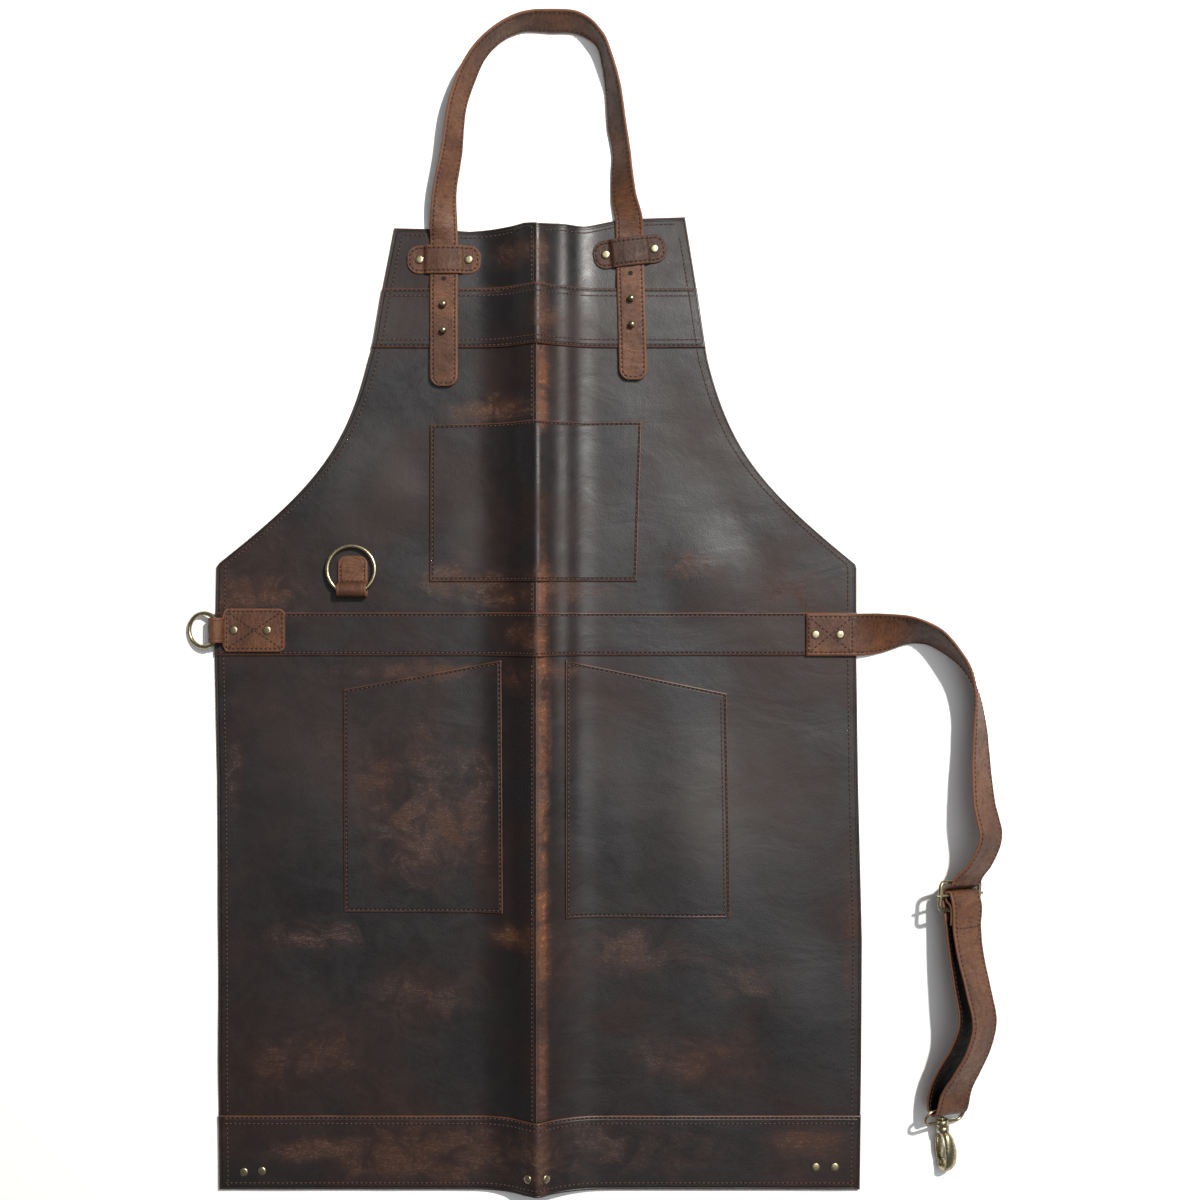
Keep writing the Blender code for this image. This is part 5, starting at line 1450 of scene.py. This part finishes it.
def panel_leather():
    n = Nodes("panel")
    lay_out = n.uv()
    clouds = n.noise(lay_out, 6.0, 4.0, 0.55, 0.3)
    mottle = n.noise(lay_out, 34.0, 8.0, 0.68, 0.8)
    fine = n.noise(lay_out, 240.0, 6.0, 0.65)
    streak = n.noise(n.uv((9.0, 30.0, 1.0)), 1.0, 6.0, 0.65, 1.2)
    black = n.mix(n.ramp(clouds, 0.40, 0.60), (0.0072, 0.0057, 0.0060), (0.0160, 0.0095, 0.0085))
    worn = n.math("ADD", n.mark("wear"), n.ramp(clouds, 0.46, 0.66, 0.0, 0.16))
    worn = n.math("MULTIPLY", worn, n.ramp(mottle, 0.30, 0.64, 0.45, 1.15))
    worn = n.math("MULTIPLY", worn, n.ramp(streak, 0.28, 0.62, 0.6, 1.15))
    # Painted grey sheen: the black lightened where the wax would reflect light.
    painted_sheen = n.math("MULTIPLY", n.mark("painted_sheen"), n.ramp(clouds, 0.30, 0.60, 0.6, 1.0))
    black = n.mix(n.math("MULTIPLY", painted_sheen, 0.75), black, (0.043, 0.037, 0.035))
    colour = n.mix(n.ramp(worn, 0.02, 0.42), black, (0.036, 0.0155, 0.0098))
    colour = n.mix(n.ramp(worn, 0.38, 0.95), colour, (0.100, 0.037, 0.0165))
    ripples = n.noise(n.bent(n.uv((70.0, 330.0, 1.0)), 0.35, 1.6), 1.0, 5.0, 0.65, 0.6)
    lines = n.ramp(n.away(ripples, 0.5), 0.0, 0.022, 1.0, 0.0)
    lines = n.math("MULTIPLY", lines, n.ramp(mottle, 0.42, 0.58))
    lines = n.math("MULTIPLY", lines, n.ramp(worn, 0.10, 0.36))
    colour = n.mix(n.math("MULTIPLY", lines, 0.45), colour, (0.16, 0.080, 0.050))
    crackle = n.ramp(n.cells(n.bent(lay_out, 60.0, 0.010), 170.0, "DISTANCE_TO_EDGE"), 0.0, 0.09, 1.0, 0.0)
    crackle = n.math("MULTIPLY", crackle, n.ramp(fine, 0.44, 0.60))
    crackle = n.math("MULTIPLY", crackle, n.ramp(worn, 0.18, 0.6, 0.0, 1.0))
    bare = n.math("MULTIPLY", worn, n.ramp(fine, 0.44, 0.66))
    colour = n.mix(n.ramp(bare, 0.50, 1.0, 0.0, 0.8), colour, (0.27, 0.090, 0.034))
    colour = n.mix(n.math("MULTIPLY", crackle, 0.40), colour, (0.20, 0.085, 0.042))
    rim = n.ramp(n.mark("rim"), 0.0, 0.0014, 1.0, 0.0)
    rim = n.math("MULTIPLY", rim, n.ramp(mottle, 0.3, 0.6, 0.45, 1.0))
    colour = n.mix(rim, colour, (0.12, 0.045, 0.020))
    # Painted shade in the stitch groove: darker along the line 2.6 mm in from each edge.
    seam = n.ramp(n.away(n.mark("rim"), 0.0026), 0.0004, 0.0012, 1.0, 0.0)
    colour = n.mix(n.math("MULTIPLY", seam, 0.55), colour, (0.010, 0.006, 0.005))
    n.link(colour, n.shader.inputs["Base Color"])
    dull = n.math("ADD", n.ramp(clouds, 0.35, 0.65, -0.04, 0.07), n.ramp(mottle, 0.3, 0.7, 0.38, 0.50))
    n.link(n.math("ADD", dull, n.ramp(worn, 0.1, 0.7, 0.0, 0.12)), n.shader.inputs["Roughness"])
    n.link(n.ramp(clouds, 0.36, 0.64, 0.55, 0.30), n.shader.inputs["Specular IOR Level"])
    normal = n.relief(n.cells(lay_out, 1000.0), 0.00018, strength=0.30)
    normal = n.relief(n.noise(lay_out, 120.0, 5.0, 0.62, 0.2), 0.0005, normal, 0.30)
    normal = n.relief(crackle, 0.0003, normal, 0.5)
    normal = n.relief(lines, 0.0003, normal, 0.5)
    normal = n.relief(n.noise(n.uv((14.0, 26.0, 1.0)), 1.0, 3.0, 0.5, 0.6), 0.0024, normal, 0.35)
    normal = n.relief(seam, -0.0006, normal, 0.7)
    n.link(normal, n.shader.inputs["Normal"])


def strap_leather(name, shade):
    def tone(*colour):
        return tuple(part * shade for part in colour)

    n = Nodes(name)
    lay_out = n.uv()
    clouds = n.noise(lay_out, 20.0, 5.0, 0.6, 0.5)
    mottle = n.noise(lay_out, 110.0, 7.0, 0.7, 0.6)
    fine = n.noise(lay_out, 420.0, 5.0, 0.65)
    brown = n.mix(n.ramp(clouds, 0.32, 0.68), tone(0.052, 0.0190, 0.0090), tone(0.099, 0.0385, 0.0172))
    brown = n.mix(n.ramp(mottle, 0.46, 0.72, 0.0, 0.7), brown, tone(0.030, 0.0120, 0.0065))
    brown = n.mix(n.ramp(fine, 0.50, 0.72, 0.0, 0.4), brown, tone(0.15, 0.061, 0.030))
    crosswise = n.noise(n.bent(n.uv((420.0, 75.0, 1.0)), 0.35, 1.4), 1.0, 5.0, 0.65, 0.6)
    lines = n.ramp(n.away(crosswise, 0.5), 0.0, 0.025, 1.0, 0.0)
    lines = n.math("MULTIPLY", lines, n.ramp(clouds, 0.40, 0.60, 0.1, 0.6))
    brown = n.mix(lines, brown, tone(0.21, 0.099, 0.048))
    rubbed = n.math("MULTIPLY", n.mark("wear"), n.ramp(mottle, 0.25, 0.6))
    brown = n.mix(n.ramp(rubbed, 0.1, 0.9, 0.0, 0.7), brown, tone(0.16, 0.062, 0.028))
    rim = n.ramp(n.mark("rim"), 0.0, 0.0007, 1.0, 0.0)
    brown = n.mix(rim, brown, tone(0.15, 0.060, 0.030))
    # Painted shadow inside the loop: near black and less shine where the inner mark is set.
    brown = n.mix(n.mark("inner"), brown, (0.0055, 0.0030, 0.0024))
    n.link(brown, n.shader.inputs["Base Color"])
    n.link(n.ramp(mottle, 0.3, 0.7, 0.46, 0.64), n.shader.inputs["Roughness"])
    n.link(n.ramp(n.mark("inner"), 0.0, 1.0, 0.30, 0.03), n.shader.inputs["Specular IOR Level"])
    grain = n.cells(lay_out, 1100.0)
    normal = n.relief(grain, 0.00020, strength=0.5)
    wrinkles = n.noise(n.uv((260.0, 70.0, 1.0)), 1.0, 5.0, 0.65, 1.0)
    normal = n.relief(wrinkles, 0.0010, normal, 0.65)
    groove = n.ramp(n.away(n.mark("rim"), 0.0030), 0.0, 0.0013)
    normal = n.relief(groove, 0.0004, normal, 0.7)
    n.link(normal, n.shader.inputs["Normal"])


def antique_brass():
    n = Nodes("brass")
    spots = n.noise(n.place(), 420.0, 5.0, 0.6)
    scratch = n.noise(n.place((1.0, 6.0, 1.0)), 900.0, 3.0, 0.5)
    colour = n.mix(n.ramp(spots, 0.35, 0.68), (0.50, 0.43, 0.27), (0.20, 0.165, 0.100))
    n.link(colour, n.shader.inputs["Base Color"])
    n.link(n.ramp(spots, 0.3, 0.7, 0.22, 0.45), n.shader.inputs["Roughness"])
    n.shader.inputs["Metallic"].default_value = 1.0
    n.link(n.relief(scratch, 0.00012, strength=0.35), n.shader.inputs["Normal"])


def thread_and_hole():
    for name, low, high in (
        ("thread", (0.045, 0.018, 0.012), (0.130, 0.052, 0.032)),
        ("dark_thread", (0.008, 0.0035, 0.003), (0.030, 0.011, 0.007)),
    ):
        n = Nodes(name)
        twist = n.noise(n.place(), 1800.0, 3.0, 0.6)
        n.link(n.mix(n.ramp(twist, 0.35, 0.65), low, high), n.shader.inputs["Base Color"])
        n.shader.inputs["Roughness"].default_value = 0.6
        n.link(n.relief(twist, 0.0002, strength=0.6), n.shader.inputs["Normal"])
    # The hole material is painted shade: near black for the mouths of stitch holes and punched holes.
    n = Nodes("hole")
    dark = n.noise(n.place(), 900.0, 2.0)
    n.link(n.mix(dark, (0.003, 0.002, 0.002), (0.010, 0.006, 0.005)), n.shader.inputs["Base Color"])
    n.shader.inputs["Roughness"].default_value = 0.9


def make_materials():
    panel_leather()
    strap_leather("strap", 1.0)
    strap_leather("dark_strap", 0.55)
    antique_brass()
    thread_and_hole()


# Stage

SENSOR = 36.0
CAMERA_HEIGHT = 1.5
PICTURE_SIZE = 1.143
PICTURE_MIDDLE = Vector((0.0591, 0.5601))
FLOOR_HALF = 6.0


def make_stage():
    n = Nodes("floor")
    n.shader.inputs["Base Color"].default_value = (0.93, 0.93, 0.92, 1)
    n.shader.inputs["Roughness"].default_value = 0.9
    n.shader.inputs["Specular IOR Level"].default_value = 0.1
    mesh = bpy.data.meshes.new("floor")
    corners = [(sx * FLOOR_HALF, sy * FLOOR_HALF, 0) for sx, sy in ((-1, -1), (1, -1), (1, 1), (-1, 1))]
    mesh.from_pydata(corners, [], [(0, 1, 2, 3)])
    floor = bpy.data.objects.new("floor", mesh)
    floor.location.z = -0.0002
    bpy.context.scene.collection.objects.link(floor)
    paint(floor, "floor")


def add_light(name, at, target, energy, size, colour=(1, 1, 1), length=None):
    light = bpy.data.lights.new(name, "AREA")
    light.energy = energy
    light.shape = "RECTANGLE" if length else "DISK"
    light.size = size
    if length:
        light.size_y = length
    light.color = colour
    lamp = bpy.data.objects.new(name, light)
    lamp.location = at
    lamp.rotation_euler = (Vector(target) - Vector(at)).to_track_quat("-Z", "Y").to_euler()
    bpy.context.scene.collection.objects.link(lamp)


def make_lights():
    add_light("key", (1.30, 1.45, 2.75), (0, 0, 0), 150.0, 0.13, (1.0, 0.965, 0.92))
    add_light("sky", (1.15, 0.45, 2.9), (0.25, 0.05, 0), 44.0, 3.0, (0.93, 0.96, 1.0), 2.6)
    world = bpy.data.worlds.new("studio")
    bpy.context.scene.world = world
    world.use_nodes = True
    back = world.node_tree.nodes["Background"]
    back.inputs["Color"].default_value = (0.97, 0.98, 1.0, 1)
    back.inputs["Strength"].default_value = 0.16
    bpy.context.scene.view_settings.view_transform = "Standard"


def make_camera():
    camera = bpy.data.cameras.new("camera")
    camera.sensor_width = SENSOR
    camera.lens = SENSOR * CAMERA_HEIGHT / PICTURE_SIZE
    camera.clip_end = 20.0
    eye = bpy.data.objects.new("camera", camera)
    eye.location = (*PICTURE_MIDDLE + SHIFT.xy, CAMERA_HEIGHT)
    bpy.context.scene.collection.objects.link(eye)
    bpy.context.scene.camera = eye


make_camera()
make_materials()
make_panels()
band("chest_band", *CHEST_BAND)
band("waist_band", *WAIST_BAND)
band("hem_band", 0.0, HEM_BAND_TOP)
pocket("chest_pocket", CHEST_POCKET)
pocket("hip_pocket_left", HIP_POCKET_LEFT)
pocket("hip_pocket_right", HIP_POCKET_RIGHT)
make_sheet_stitches()
make_neck_strap()
make_tool_ring()
make_waist_ring()
make_waist_strap()
make_slider()
make_hook()
make_hem_rivets()
make_stage()
make_lights()
